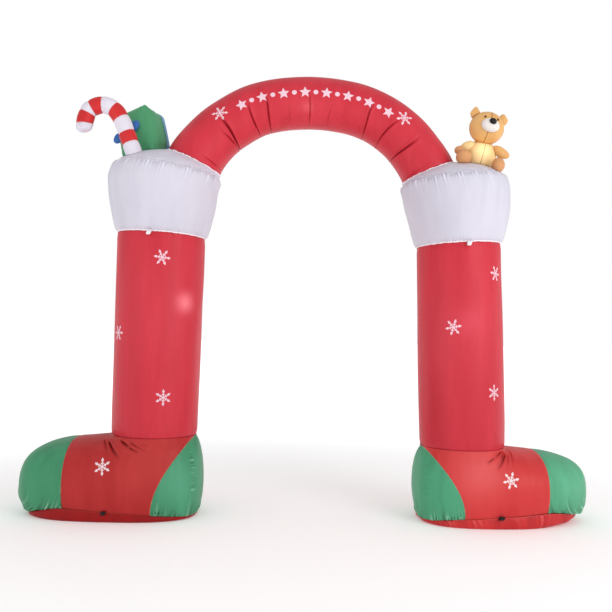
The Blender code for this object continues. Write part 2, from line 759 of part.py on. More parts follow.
def ellipsoid_cutter(key):
    name = "cut_bear_" + key
    cutter = bpy.data.objects.get(name)
    return cutter or finish_mesh(ellipsoid_shape(BEAR[key], CARVE_GAP), name, None, CUTTERS)


# Sweet cane


def cane_route(share):
    """Place and direction along the cane, share counted in seams from the tip."""
    k = min(int(share), len(CANE_POINTS) - 2)
    points = [Vector((p.x, CANE_Y, p.z)) for p in CANE_POINTS]
    ways = [points[1] - points[0]]
    ways += [(b - a) * 0.5 for a, b in zip(points, points[2:])]
    ways += [points[-1] - points[-2]]
    return hermite(points[k], points[k + 1], ways[k], ways[k + 1], share - k)


def cane_ring(share, radius, shift=0.0):
    place, way = cane_route(share)
    side = Vector((0.0, 1.0, 0.0))
    across = way.cross(side).normalized()
    ring = []
    for k in range(AROUND_CANE):
        angle = 2.0 * math.pi * k / AROUND_CANE
        ring.append(place + way * shift + (across * math.cos(angle) + side * math.sin(angle)) * radius)
    return ring


def make_cane(cuff_cutter):
    lengths = len(CANE_POINTS) - 1
    for k in range(lengths):
        white = k % 2 == 0
        rings = []
        for step in range(CANE_STEPS + 1):
            share = step / CANE_STEPS
            swell = mix(CANE_WAIST, 1.0, math.sin(math.pi * share) ** 0.6)
            shift = SEAM_GAP * (0.5 - share)
            if k == 0:
                # The tip closes like the end of a sausage.
                swell = min(mix(CANE_TIP, 1.0, rounded(1.0 - share, 2.0)), swell if share > 0.5 else 1.0)
            if k == lengths - 1:
                swell = max(swell, mix(CANE_WAIST, 1.0, min(1.0, 3 * share)))
            rings.append(cane_ring(k + share, CANE_RADIUS * swell, shift))
        name = "cane_{}_{}".format(k + 1, "white" if white else "red")
        colour = cloth("white_nylon", CUFF_WHITE) if white else cloth("cane_red_nylon", CANE_RED)
        piece = loft(name, rings, colour)
        if k == lengths - 1:
            carve(piece, cuff_cutter)


# Gift box


def box_surface(point):
    """Puffs a point of a cube of half size 1 out to the inflated box, in the box's own frame."""
    bulge = []
    for axis in range(3):
        others = [point[n] for n in range(3) if n != axis]
        puff = (1.0 - others[0] ** 2) * (1.0 - others[1] ** 2)
        bulge.append(point[axis] * puff * BOX_BULGE)
    half = (BOX_SIDE / 2, BOX_SIDE / 2, BOX_HEIGHT / 2)
    return Vector(point[n] * half[n] + bulge[n] for n in range(3))


def box_matrix():
    return (Matrix.Translation(BOX_CENTRE) @ Matrix.Rotation(BOX_LEAN_LEFT, 4, "Y")
            @ Matrix.Rotation(BOX_LEAN_BACK, 4, "X") @ Matrix.Rotation(BOX_YAW, 4, "Z"))


def make_gift(cuff_cutter):
    shape = bmesh.new()
    bmesh.ops.create_cube(shape, size=2.0)
    bmesh.ops.subdivide_edges(shape, edges=shape.edges, cuts=BOX_CUTS, use_grid_fill=True)
    for vert in shape.verts:
        vert.co = box_surface(vert.co)
    bmesh.ops.transform(shape, matrix=box_matrix(), verts=shape.verts)
    box = finish_mesh(shape, "gift_box", cloth("box_green_nylon", BOX_GREEN))
    carve(box, cuff_cutter)
    make_ribbon()
    make_bow()


def make_ribbon():
    """A ribbon down the box's right face, as a strip on the same curve."""
    shape = bmesh.new()
    share = RIBBON_WIDTH / BOX_SIDE
    rows = []
    for step in range(RIBBON_STEPS + 1):
        height = mix(RIBBON_FROM, RIBBON_TO, step / RIBBON_STEPS)
        row = []
        for across in (-share, 0.0, share):
            point = box_surface(Vector((1.0, across + RIBBON_ACROSS, height)))
            row.append(shape.verts.new(point + Vector((RIBBON_STAND_OFF, 0.0, 0.0))))
        rows.append(row)
    for lower, upper in zip(rows, rows[1:]):
        for k in range(2):
            shape.faces.new((lower[k], lower[k + 1], upper[k + 1], upper[k]))
    bmesh.ops.transform(shape, matrix=box_matrix(), verts=shape.verts)
    mesh = bpy.data.meshes.new("gift_ribbon")
    shape.to_mesh(mesh)
    shape.free()
    mesh.shade_smooth()
    mesh.materials.append(cloth("ribbon_blue_nylon", RIBBON_BLUE))
    ribbon = bpy.data.objects.new("gift_ribbon", mesh)
    PARTS.objects.link(ribbon)
    thick = ribbon.modifiers.new("thickness", "SOLIDIFY")
    thick.thickness = RIBBON_THICK
    thick.offset = 1.0


def bow_piece(name, offset, half, turn, material, collection=None):
    """One stuffed piece of the bow, placed in the box's own frame."""
    shape = bmesh.new()
    bmesh.ops.create_uvsphere(shape, u_segments=BOW_SEGMENTS, v_segments=BOW_RINGS, radius=1.0)
    centre = Vector((BOW_ACROSS, -BOX_SIDE / 2 - BOX_BULGE - BOW_KNOT_SIZE.y - CARVE_GAP, BOW_UP))
    local = (Matrix.Translation(centre + offset) @ Matrix.Rotation(math.radians(-turn), 4, "Y")
             @ Matrix.Diagonal((*half, 1.0)))
    bmesh.ops.transform(shape, matrix=box_matrix() @ local, verts=shape.verts)
    return finish_mesh(shape, name, material, collection)


def make_bow():
    """Two stuffed loops and a knot on the box's left face."""
    blue = cloth("bow_blue_nylon", BOW_BLUE)
    middle = Vector((0.0, 0.0, 0.0))
    bow_piece("gift_bow_knot", middle, BOW_KNOT_SIZE, 0, blue)
    grow = Vector((CARVE_GAP, CARVE_GAP, CARVE_GAP))
    cutter = bow_piece("cut_bow_knot", middle, BOW_KNOT_SIZE + grow, 0, None, CUTTERS)
    for loop in BOW_LOOPS:
        offset = Vector((loop.across, 0.0, loop.up))
        piece = bow_piece("gift_bow_" + loop.side, offset, BOW_LOOP_SIZE, loop.turn, blue)
        carve(piece, cutter)


# Bear


def half_torso(name, front, material):
    """The torso on one side of the belly panel's seam."""
    shape = ellipsoid_shape(BEAR["torso"])
    gap = -SEAM_GAP / 2 if front else SEAM_GAP / 2
    cut = bmesh.ops.bisect_plane(
        shape, geom=shape.verts[:] + shape.edges[:] + shape.faces[:],
        plane_co=(0.0, BELLY_SEAM_Y + gap, 0.0), plane_no=(0.0, 1.0, 0.0),
        clear_outer=front, clear_inner=not front,
    )
    edges = [item for item in cut["geom_cut"] if isinstance(item, bmesh.types.BMEdge)]
    bmesh.ops.contextual_create(shape, geom=edges)
    return finish_mesh(shape, name, material)


def make_bear(cuff_cutter):
    tan = cloth("bear_tan_nylon", BEAR_TAN)
    yellow = cloth("belly_yellow_nylon", BELLY_YELLOW)
    white = cloth("muzzle_white_nylon", MUZZLE_WHITE)
    black = cloth("black_webbing", NEAR_BLACK, 0.7)
    for name, front, colour in (("bear_belly", True, yellow), ("bear_back", False, tan)):
        half = half_torso(name, front, colour)
        carve(half, cuff_cutter)
        carve(half, ellipsoid_cutter("head"))
    carved_by = {
        "head": (),
        "muzzle": ("head",),
        "nose": ("muzzle",),
        "eye_left": ("head",),
        "eye_right": ("head",),
        "ear_left": ("head",),
        "ear_right": ("head",),
        "arm_left": ("torso", "head"),
        "hand_left": ("arm_left", "torso", "foot_left"),
        "arm_right": ("torso", "head", "foot_right"),
        "foot_left": ("torso",),
        "foot_right": ("torso",),
    }
    colours = {"muzzle": white, "nose": black, "eye_left": black, "eye_right": black, "arm_left": yellow}
    for key, neighbours in carved_by.items():
        piece = finish_mesh(ellipsoid_shape(BEAR[key]), "bear_" + key, colours.get(key, tan))
        for neighbour in neighbours:
            carve(piece, ellipsoid_cutter(neighbour))
        if key.startswith(("foot", "arm", "hand")):
            carve(piece, cuff_cutter)


# Webbing loops


def make_web_loop(loop, material):
    """A strap folded back on itself, open through the middle along X."""
    shape = bmesh.new()
    edges = []
    for side in (-0.5, 0.5):
        row = []
        for k in range(LOOP_POINTS):
            angle = 2.0 * math.pi * k / LOOP_POINTS
            y = loop.y + loop.half_y * math.cos(angle)
            z = loop.z + loop.half_z * math.sin(angle) - LOOP_SAG * (loop.y - y)
            row.append(shape.verts.new((loop.x + side * loop.width, y, z)))
        edges.append(row)
    near, far = edges
    for k in range(LOOP_POINTS):
        after = (k + 1) % LOOP_POINTS
        shape.faces.new((near[k], near[after], far[after], far[k]))
    bmesh.ops.recalc_face_normals(shape, faces=shape.faces)
    mesh = bpy.data.meshes.new(loop.name)
    shape.to_mesh(mesh)
    shape.free()
    mesh.shade_smooth()
    mesh.materials.append(material)
    thing = bpy.data.objects.new(loop.name, mesh)
    PARTS.objects.link(thing)
    thick = thing.modifiers.new("thickness", "SOLIDIFY")
    thick.thickness = WEB_THICK
    thick.offset = 0.0


def centre_on_origin():
    """Stands the whole arch with its bounding box centred over the origin."""
    points = [vert.co for thing in PARTS.objects for vert in thing.data.vertices]
    middle = [0.5 * (min(p[n] for p in points) + max(p[n] for p in points)) for n in (0, 1)]
    shift = Matrix.Translation((-middle[0], -middle[1], 0.0))
    for thing in [*PARTS.objects, *CUTTERS.objects]:
        thing.data.transform(shift)


def build():
    cutters = {}
    for boot, cuff in zip(BOOTS, CUFFS):
        make_sole(boot)
        make_vamp(boot)
        make_toe(boot)
        make_heel(boot)
        make_leg(boot)
        make_cuff_band(boot, cuff)
        make_cuff_top(cuff)
        cutters[cuff.side] = make_cuff_cutter(cuff)
    make_arch()
    make_cane(cutters["left"])
    make_gift(cutters["left"])
    make_bear(cutters["right"])
    white_web = cloth("white_webbing", MUZZLE_WHITE, 0.7)
    black_web = cloth("black_webbing", NEAR_BLACK, 0.7)
    for loop in WEB_LOOPS:
        make_web_loop(loop, white_web if loop.name.startswith("tether") else black_web)
    centre_on_origin()


build()
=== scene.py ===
# Looks for the inflatable arch: sewn nylon panels drawn in at their seams, gathers and soft creases with painted shade
# in their valleys and painted highlights on their ridges, printed flakes, lamps behind the cloth, painted light and
# shade on the boots' panels, and a plain pale studio.

import json
import math
from types import SimpleNamespace

import bmesh
import bpy
import numpy as np
from mathutils import Matrix, Vector
from mathutils.bvhtree import BVHTree

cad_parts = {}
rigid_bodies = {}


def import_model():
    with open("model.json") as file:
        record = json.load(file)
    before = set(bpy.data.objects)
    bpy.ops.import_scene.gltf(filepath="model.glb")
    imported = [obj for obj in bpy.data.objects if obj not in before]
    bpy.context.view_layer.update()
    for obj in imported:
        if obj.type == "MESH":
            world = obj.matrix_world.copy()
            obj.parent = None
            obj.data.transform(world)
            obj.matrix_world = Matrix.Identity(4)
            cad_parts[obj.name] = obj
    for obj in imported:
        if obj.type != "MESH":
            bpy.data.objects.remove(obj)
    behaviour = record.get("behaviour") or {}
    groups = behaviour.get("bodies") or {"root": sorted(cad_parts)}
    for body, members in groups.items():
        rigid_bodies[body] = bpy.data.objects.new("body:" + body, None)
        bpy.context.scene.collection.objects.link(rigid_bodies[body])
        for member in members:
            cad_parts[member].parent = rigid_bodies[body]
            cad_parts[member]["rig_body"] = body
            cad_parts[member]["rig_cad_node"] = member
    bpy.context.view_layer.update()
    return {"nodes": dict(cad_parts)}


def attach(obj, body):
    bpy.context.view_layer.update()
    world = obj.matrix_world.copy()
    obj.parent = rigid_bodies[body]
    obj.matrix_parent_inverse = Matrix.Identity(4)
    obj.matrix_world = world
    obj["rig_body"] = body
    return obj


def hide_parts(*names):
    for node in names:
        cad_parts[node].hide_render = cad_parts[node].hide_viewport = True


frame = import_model()
nodes = frame["nodes"]
print("stage: frame loaded")

seamGap = 0.0003
# The drawing's zero is the middle of the walkway; the object's zero is the middle of its box.
centreShift = np.array([0.008253, 0.000509, 0.0])
turn = 2.0 * math.pi


# Curves and waves

def mix(a, b, share):
    return a + (b - a) * share


def smoothStep(low, high, value):
    share = np.clip((value - low) / (high - low), 0.0, 1.0)
    return share * share * (3.0 - 2.0 * share)


def rounded(share, power):
    return (1.0 - np.clip(np.abs(share), 0.0, 1.0) ** power) ** (1.0 / power)


def easedEnds(count):
    # Shares from 0 to 1 that crowd towards both ends
    return 0.5 - 0.5 * np.cos(np.pi * np.arange(count + 1) / count)


def easedEnd(count):
    return np.sin(0.5 * np.pi * np.arange(count + 1) / count)


def smoothTable(value, places, amounts):
    # A smooth curve through a short table
    places, amounts = np.asarray(places, float), np.asarray(amounts, float)
    slopes = np.gradient(amounts, places)
    k = np.clip(np.searchsorted(places, value, side="right") - 1, 0, len(places) - 2)
    span = places[k + 1] - places[k]
    t = np.clip((value - places[k]) / span, 0.0, 1.0)
    t2, t3 = t * t, t * t * t
    return (amounts[k] * (2 * t3 - 3 * t2 + 1) + slopes[k] * span * (t3 - 2 * t2 + t)
            + amounts[k + 1] * (3 * t2 - 2 * t3) + slopes[k + 1] * span * (t3 - t2))


def hermite(a, b, wayA, wayB, t):
    # Points and headings on a smooth curve from a to b
    t2, t3 = t * t, t * t * t
    where = a * (2 * t3 - 3 * t2 + 1) + wayA * (t3 - 2 * t2 + t) + b * (3 * t2 - 2 * t3) + wayB * (t3 - t2)
    heading = (a - b) * (6 * t2 - 6 * t) + wayA * (3 * t2 - 4 * t + 1) + wayB * (3 * t2 - 2 * t)
    return where, heading / np.linalg.norm(heading, axis=-1, keepdims=True)


def ringWave(angle, count, seed):
    # An uneven wave round a closed seam, between about -1 and 1
    rng = np.random.default_rng(seed)
    total = 0.0
    for share, weight in ((1.0, 0.5), (0.62, 0.3), (1.57, 0.3)):
        waves = max(1, round(count * share))
        phase, sway = rng.uniform(0, turn, 2)
        total = total + weight * np.sin(waves * angle + phase + 1.3 * np.sin(3 * angle + sway))
    return total


def lineWave(place, pitch, seed):
    # The same along an open seam, place in metres
    rng = np.random.default_rng(seed)
    total = 0.0
    for share, weight in ((1.0, 0.5), (0.58, 0.3), (1.7, 0.3)):
        phase, sway = rng.uniform(0, turn, 2)
        total = total + weight * np.sin(turn * place * share / pitch + phase
                                        + 1.2 * np.sin(turn * place / (5.1 * pitch) + sway))
    return total


def pleats(wave):
    # Turns a wave into rounded folds with narrow valleys
    return 2.2 * np.abs(np.clip(wave, -1.0, 1.0)) ** 0.7 - 1.0


def near(distance, reach):
    return np.exp(-np.clip(distance, 0.0, None) / reach)


# Meshes

# A place on the cloth that no print reaches, for rims, hems and ribbons
plainCloth = np.array([20.0, 0.0])
# The four edges of a grid
gridEdges = ((slice(None), 0), (slice(None), -1), (0, slice(None)), (-1, slice(None)))


def pushed(points, amount, around=False):
    # Moves a grid of points outwards by an amount each
    padded = np.concatenate([points[:, -2:-1], points, points[:, 1:2]], axis=1) if around else None
    alongRows = np.gradient(points, axis=0)
    alongColumns = np.gradient(padded, axis=1)[:, 1:-1] if around else np.gradient(points, axis=1)
    normals = np.cross(alongRows, alongColumns)
    normals /= np.maximum(np.linalg.norm(normals, axis=2, keepdims=True), 1e-12)
    middle = points.reshape(-1, 3).mean(axis=0)
    if np.sum((points - middle) * normals) < 0:
        normals = -normals
    return points + normals * amount[..., None]


def paint(mesh, label, values):
    layer = mesh.attributes.new(label, "FLOAT", "POINT")
    layer.data.foreach_set("value", np.asarray(values, np.float32))


def gridMesh(name, grids, capped=False):
    # One mesh from grids of (points, cloth places, distance to the nearest seam, how far in a fold), where the fold
    # sets painted shade in valleys and painted highlight on ridges
    points, faces, places, seams, folds = [], [], [], [], []
    for grid, flat, seam, fold in grids:
        rows, columns = grid.shape[:2]
        start = sum(len(p) for p in points)
        index = start + np.arange(rows * columns).reshape(rows, columns)
        quads = np.stack([index[:-1, :-1], index[:-1, 1:], index[1:, 1:], index[1:, :-1]], axis=-1)
        faces.append(quads.reshape(-1, 4))
        points.append(grid.reshape(-1, 3) - centreShift)
        places.append(np.broadcast_to(flat, (rows, columns, 2)).reshape(-1, 2))
        seams.append(np.broadcast_to(seam, (rows, columns)).reshape(-1))
        folds.append(np.broadcast_to(fold, (rows, columns)).reshape(-1))
    points, faces = np.concatenate(points), np.concatenate(faces)
    places = np.concatenate(places)
    mesh = bpy.data.meshes.new(name)
    mesh.from_pydata(points.tolist(), [], faces.tolist())
    layer = mesh.uv_layers.new(name="clothPlace")
    corners = np.zeros(len(mesh.loops), np.int32)
    mesh.loops.foreach_get("vertex_index", corners)
    layer.data.foreach_set("uv", places[corners].astype(np.float32).ravel())
    paint(mesh, "seamDistance", np.concatenate(seams))
    paint(mesh, "fold", np.concatenate(folds))
    shape = bmesh.new()
    shape.from_mesh(mesh)
    bmesh.ops.remove_doubles(shape, verts=shape.verts, dist=2e-5)
    bmesh.ops.dissolve_degenerate(shape, edges=shape.edges, dist=1e-6)
    if capped:
        rims = [edge for edge in shape.edges if edge.is_boundary]
        bmesh.ops.holes_fill(shape, edges=rims, sides=0)
    bmesh.ops.recalc_face_normals(shape, faces=shape.faces)
    shape.to_mesh(mesh)
    shape.free()
    mesh.shade_smooth()
    mesh.set_sharp_from_angle(angle=math.radians(75))
    thing = bpy.data.objects.new(name, mesh)
    bpy.context.scene.collection.objects.link(thing)
    return thing


def place(thing, material, slot, *standsFor, fill=0.9):
    # Dresses a piece and ties it to the CAD
    thing.data.materials.clear()
    thing.data.materials.append(material)
    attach(thing, "root")
    if standsFor:
        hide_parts(*standsFor)
    return thing


# Shader node groups

def newGroup(name, inputs, outputs):
    group = bpy.data.node_groups.new(name, "ShaderNodeTree")
    for label, kind, value in inputs:
        socket = group.interface.new_socket(name=label, in_out="INPUT", socket_type="NodeSocket" + kind)
        if value is not None:
            socket.default_value = value
    for label, kind in outputs:
        group.interface.new_socket(name=label, in_out="OUTPUT", socket_type="NodeSocket" + kind)
    return group, group.nodes.new("NodeGroupInput"), group.nodes.new("NodeGroupOutput")


def wire(tree, value, socket):
    if isinstance(value, bpy.types.NodeSocket):
        tree.links.new(value, socket)
    else:
        socket.default_value = value


def maths(tree, operation, *values):
    node = tree.nodes.new("ShaderNodeMath")
    node.operation = operation
    for k, value in enumerate(values):
        wire(tree, value, node.inputs[k])
    return node.outputs[0]


def ramp(tree, value, low, high):
    # Smooth 0 to 1 as value goes from low to high
    node = tree.nodes.new("ShaderNodeMapRange")
    node.interpolation_type = "SMOOTHSTEP"
    wire(tree, value, node.inputs["Value"])
    wire(tree, low, node.inputs["From Min"])
    wire(tree, high, node.inputs["From Max"])
    return node.outputs["Result"]


def separated(tree, vector):
    node = tree.nodes.new("ShaderNodeSeparateXYZ")
    tree.links.new(vector, node.inputs[0])
    return node.outputs


def colourMix(tree, share, a, b):
    node = tree.nodes.new("ShaderNodeMix")
    node.data_type = "RGBA"
    wire(tree, share, node.inputs["Factor"])
    wire(tree, a, node.inputs["A"])
    wire(tree, b, node.inputs["B"])
    return node.outputs["Result"]


def noise(tree, vector, scale, detail=3.0, roughness=0.5, distortion=0.0):
    node = tree.nodes.new("ShaderNodeTexNoise")
    tree.links.new(vector, node.inputs["Vector"])
    node.inputs["Scale"].default_value = scale
    node.inputs["Detail"].default_value = detail
    node.inputs["Roughness"].default_value = roughness
    node.inputs["Distortion"].default_value = distortion
    return node.outputs["Fac"]


# Printed flake in shares of its radius; each pair is where an edge starts to fade and where it is full
flakeForm = {"stem": (0.085, 0.045), "stemEnd": (1.0, 0.95), "leafAt": 0.74, "leafSlope": 0.62, "leaf": (0.190, 0.150),
             "branchAt": 0.30, "branchWay": (0.82, 0.57), "branch": (0.070, 0.035), "branchEnd": (0.19, 0.15)}
starForm = {"edgeSlope": 2.40, "edge": (1.04, 0.92), "dot": (0.42, 0.34)}
glowPower = 3.2
# Cloth: scale, then detail and so on of each noise, its share of the height, and the roughness
weave = {"threads": (420.0, 1.0), "threadHeight": 0.02, "wrinkles": (9.0, 4.0, 0.55, 1.2), "wrinkleHeight": 0.30,
         "creases": (5.0, 2.0, 0.5, 0.8), "creaseWidth": 0.10, "creaseHeight": 0.12, "bands": (15.0, 2.0),
         "bandStretch": (1.0, 1.0, 0.14), "drift": (1.7, 2.0), "driftShares": (0.45, 0.55), "driftRange": (0.34, 0.66),
         "roughness": 0.36, "wrinkleRoughness": 0.16}


def makeFlakeGroup():
    # A six-armed flake printed on the cloth
    group, source, sink = newGroup(
        "flakePrint",
        [("Place", "Vector", None), ("CentreU", "Float", 0.0), ("CentreV", "Float", 0.0),
         ("Size", "Float", 0.045), ("Turn", "Float", 0.0)],
        [("Mask", "Float")],
    )
    u, v, _ = separated(group, source.outputs["Place"])
    x = maths(group, "DIVIDE", maths(group, "SUBTRACT", u, source.outputs["CentreU"]), source.outputs["Size"])
    y = maths(group, "DIVIDE", maths(group, "SUBTRACT", v, source.outputs["CentreV"]), source.outputs["Size"])
    radius = maths(group, "SQRT", maths(group, "ADD", maths(group, "MULTIPLY", x, x), maths(group, "MULTIPLY", y, y)))
    angle = maths(group, "ADD", maths(group, "ARCTAN2", y, x), source.outputs["Turn"])
    fold = maths(group, "PINGPONG", angle, math.pi / 6)
    out = maths(group, "MULTIPLY", radius, maths(group, "COSINE", fold))
    side = maths(group, "MULTIPLY", radius, maths(group, "SINE", fold))
    stem = maths(group, "MULTIPLY", ramp(group, side, *flakeForm["stem"]),
                 ramp(group, out, *flakeForm["stemEnd"]))
    # A leaf on the outer half of each arm
    leafMiddle = maths(group, "ABSOLUTE", maths(group, "SUBTRACT", out, flakeForm["leafAt"]))
    leafEdge = maths(group, "ADD", maths(group, "MULTIPLY", leafMiddle, flakeForm["leafSlope"]), side)
    leaf = ramp(group, leafEdge, *flakeForm["leaf"])
    # A short branch nearer the middle
    branchOut = maths(group, "SUBTRACT", out, flakeForm["branchAt"])
    wayOut, waySide = flakeForm["branchWay"]
    across = maths(group, "ABSOLUTE", maths(group, "SUBTRACT", maths(group, "MULTIPLY", branchOut, wayOut),
                                            maths(group, "MULTIPLY", side, waySide)))
    branch = maths(group, "MULTIPLY", ramp(group, across, *flakeForm["branch"]),
                   ramp(group, side, *flakeForm["branchEnd"]))
    mask = maths(group, "MAXIMUM", maths(group, "MAXIMUM", stem, leaf), branch)
    group.links.new(mask, sink.inputs["Mask"])
    return group


def makeStarRowGroup():
    # A row of small stars with a dot between each two
    group, source, sink = newGroup(
        "starRow",
        [("Place", "Vector", None), ("StartU", "Float", 0.0), ("Steps", "Float", 14.0), ("CentreV", "Float", 0.0),
         ("Pitch", "Float", 0.07), ("Size", "Float", 0.03)],
        [("Mask", "Float")],
    )
    u, v, _ = separated(group, source.outputs["Place"])
    step = maths(group, "DIVIDE", maths(group, "SUBTRACT", u, source.outputs["StartU"]), source.outputs["Pitch"])
    index = maths(group, "ROUND", step)
    odd = maths(group, "FRACT", maths(group, "MULTIPLY", maths(group, "ABSOLUTE", index), 0.5))
    x = maths(group, "MULTIPLY", maths(group, "SUBTRACT", step, index), source.outputs["Pitch"])
    x = maths(group, "DIVIDE", x, source.outputs["Size"])
    y = maths(group, "DIVIDE", maths(group, "SUBTRACT", v, source.outputs["CentreV"]), source.outputs["Size"])
    radius = maths(group, "SQRT", maths(group, "ADD", maths(group, "MULTIPLY", x, x), maths(group, "MULTIPLY", y, y)))
    angle = maths(group, "ADD", maths(group, "ARCTAN2", y, x), math.pi / 10 + math.pi / 5)
    fold = maths(group, "PINGPONG", angle, math.pi / 5)
    out = maths(group, "MULTIPLY", radius, maths(group, "COSINE", fold))
    side = maths(group, "MULTIPLY", radius, maths(group, "SINE", fold))
    # The straight edge from a point at 1 to a notch at 0.45
    edge = maths(group, "ADD", maths(group, "MULTIPLY", side, starForm["edgeSlope"]), out)
    star = ramp(group, edge, *starForm["edge"])
    dot = ramp(group, radius, *starForm["dot"])
    inside = maths(group, "MULTIPLY", maths(group, "GREATER_THAN", index, -0.5),
                   maths(group, "LESS_THAN", index, source.outputs["Steps"]))
    shape = maths(group, "ADD", maths(group, "MULTIPLY", star, maths(group, "LESS_THAN", odd, 0.25)),
                  maths(group, "MULTIPLY", dot, maths(group, "GREATER_THAN", odd, 0.25)))
    group.links.new(maths(group, "MULTIPLY", shape, inside), sink.inputs["Mask"])
    return group


def makeLampAndPaintedGlowGroup():
    # A soft spot of emitted colour: where a lamp shines through the cloth, and painted light where no lamp is behind
    # the cloth
    group, source, sink = newGroup(
        "lampAndPaintedGlow",
        [("Point", "Vector", None), ("Lamp", "Vector", (0.0, 0.0, 0.0)), ("Reach", "Float", 0.2),
         ("Colour", "Color", (1.0, 1.0, 1.0, 1.0))],
        [("Colour", "Color"), ("Mask", "Float")],
    )
    gap = group.nodes.new("ShaderNodeVectorMath")
    gap.operation = "DISTANCE"
    group.links.new(source.outputs["Point"], gap.inputs[0])
    group.links.new(source.outputs["Lamp"], gap.inputs[1])
    share = maths(group, "DIVIDE", gap.outputs["Value"], source.outputs["Reach"])
    mask = maths(group, "POWER", ramp(group, share, 1.0, 0.0), glowPower)
    group.links.new(mask, sink.inputs["Mask"])
    group.links.new(colourMix(group, mask, (0.0, 0.0, 0.0, 1.0), source.outputs["Colour"]), sink.inputs["Colour"])
    return group


def makeClothGroup():
    # Nylon: fine threads both ways, small wrinkles, a slow drift of tone, painted shade in fold valleys and painted
    # highlight on fold ridges
    group, source, sink = newGroup(
        "nylonCloth",
        [("Point", "Vector", None), ("Colour", "Color", (1.0, 1.0, 1.0, 1.0)),
         ("Shade", "Color", (0.5, 0.5, 0.5, 1.0)), ("EdgeColour", "Color", (1.0, 1.0, 1.0, 1.0)),
         ("Valley", "Color", (0.2, 0.2, 0.2, 1.0)), ("Ridge", "Color", (1.0, 1.0, 1.0, 1.0)),
         ("Fold", "Float", 0.0), ("SeamDistance", "Float", 1.0), ("EdgeWidth", "Float", 0.004)],
        [("Colour", "Color"), ("Height", "Float"), ("Roughness", "Float")],
    )
    point = source.outputs["Point"]
    threads = noise(group, point, *weave["threads"])
    wrinkles = noise(group, point, *weave["wrinkles"])
    creases = maths(group, "ABSOLUTE", maths(group, "SUBTRACT", noise(group, point, *weave["creases"]), 0.5))
    creased = maths(group, "MULTIPLY", ramp(group, creases, 0.0, weave["creaseWidth"]), weave["creaseHeight"])
    height = maths(group, "ADD", maths(group, "MULTIPLY", threads, weave["threadHeight"]),
                   maths(group, "ADD", maths(group, "MULTIPLY", wrinkles, weave["wrinkleHeight"]), creased))
    # Long faint bands run up the cloth
    longer = group.nodes.new("ShaderNodeVectorMath")
    longer.operation = "MULTIPLY"
    longer.inputs[1].default_value = weave["bandStretch"]
    group.links.new(point, longer.inputs[0])
    bands = noise(group, longer.outputs["Vector"], *weave["bands"])
    slow = noise(group, point, *weave["drift"])
    slowShare, bandShare = weave["driftShares"]
    drift = ramp(group, maths(group, "ADD", maths(group, "MULTIPLY", slow, slowShare),
                              maths(group, "MULTIPLY", bands, bandShare)), *weave["driftRange"])
    colour = colourMix(group, drift, source.outputs["Shade"], source.outputs["Colour"])
    # Painted shade in the fold valleys and painted highlight on the fold ridges
    colour = colourMix(group, ramp(group, source.outputs["Fold"], 0.0, -1.1), colour, source.outputs["Valley"])
    colour = colourMix(group, ramp(group, source.outputs["Fold"], 0.1, 1.2), colour, source.outputs["Ridge"])
    stitched = maths(group, "DIVIDE", source.outputs["SeamDistance"], source.outputs["EdgeWidth"])
    colour = colourMix(group, ramp(group, stitched, 1.0, 0.35), colour, source.outputs["EdgeColour"])
    roughness = maths(group, "ADD", maths(group, "MULTIPLY", wrinkles, weave["wrinkleRoughness"]),
                      weave["roughness"])
    group.links.new(colour, sink.inputs["Colour"])
    group.links.new(height, sink.inputs["Height"])
    group.links.new(roughness, sink.inputs["Roughness"])
    return group


groups = {
    "flake": makeFlakeGroup(),
    "row": makeStarRowGroup(),
    "lamp": makeLampAndPaintedGlowGroup(),
    "cloth": makeClothGroup(),
}


def useGroup(tree, key, **values):
    node = tree.nodes.new("ShaderNodeGroup")
    node.node_tree = groups[key]
    for label, value in values.items():
        wire(tree, value, node.inputs[label])
    return node.outputs


def opaque(colour):
    return (*colour, 1.0)


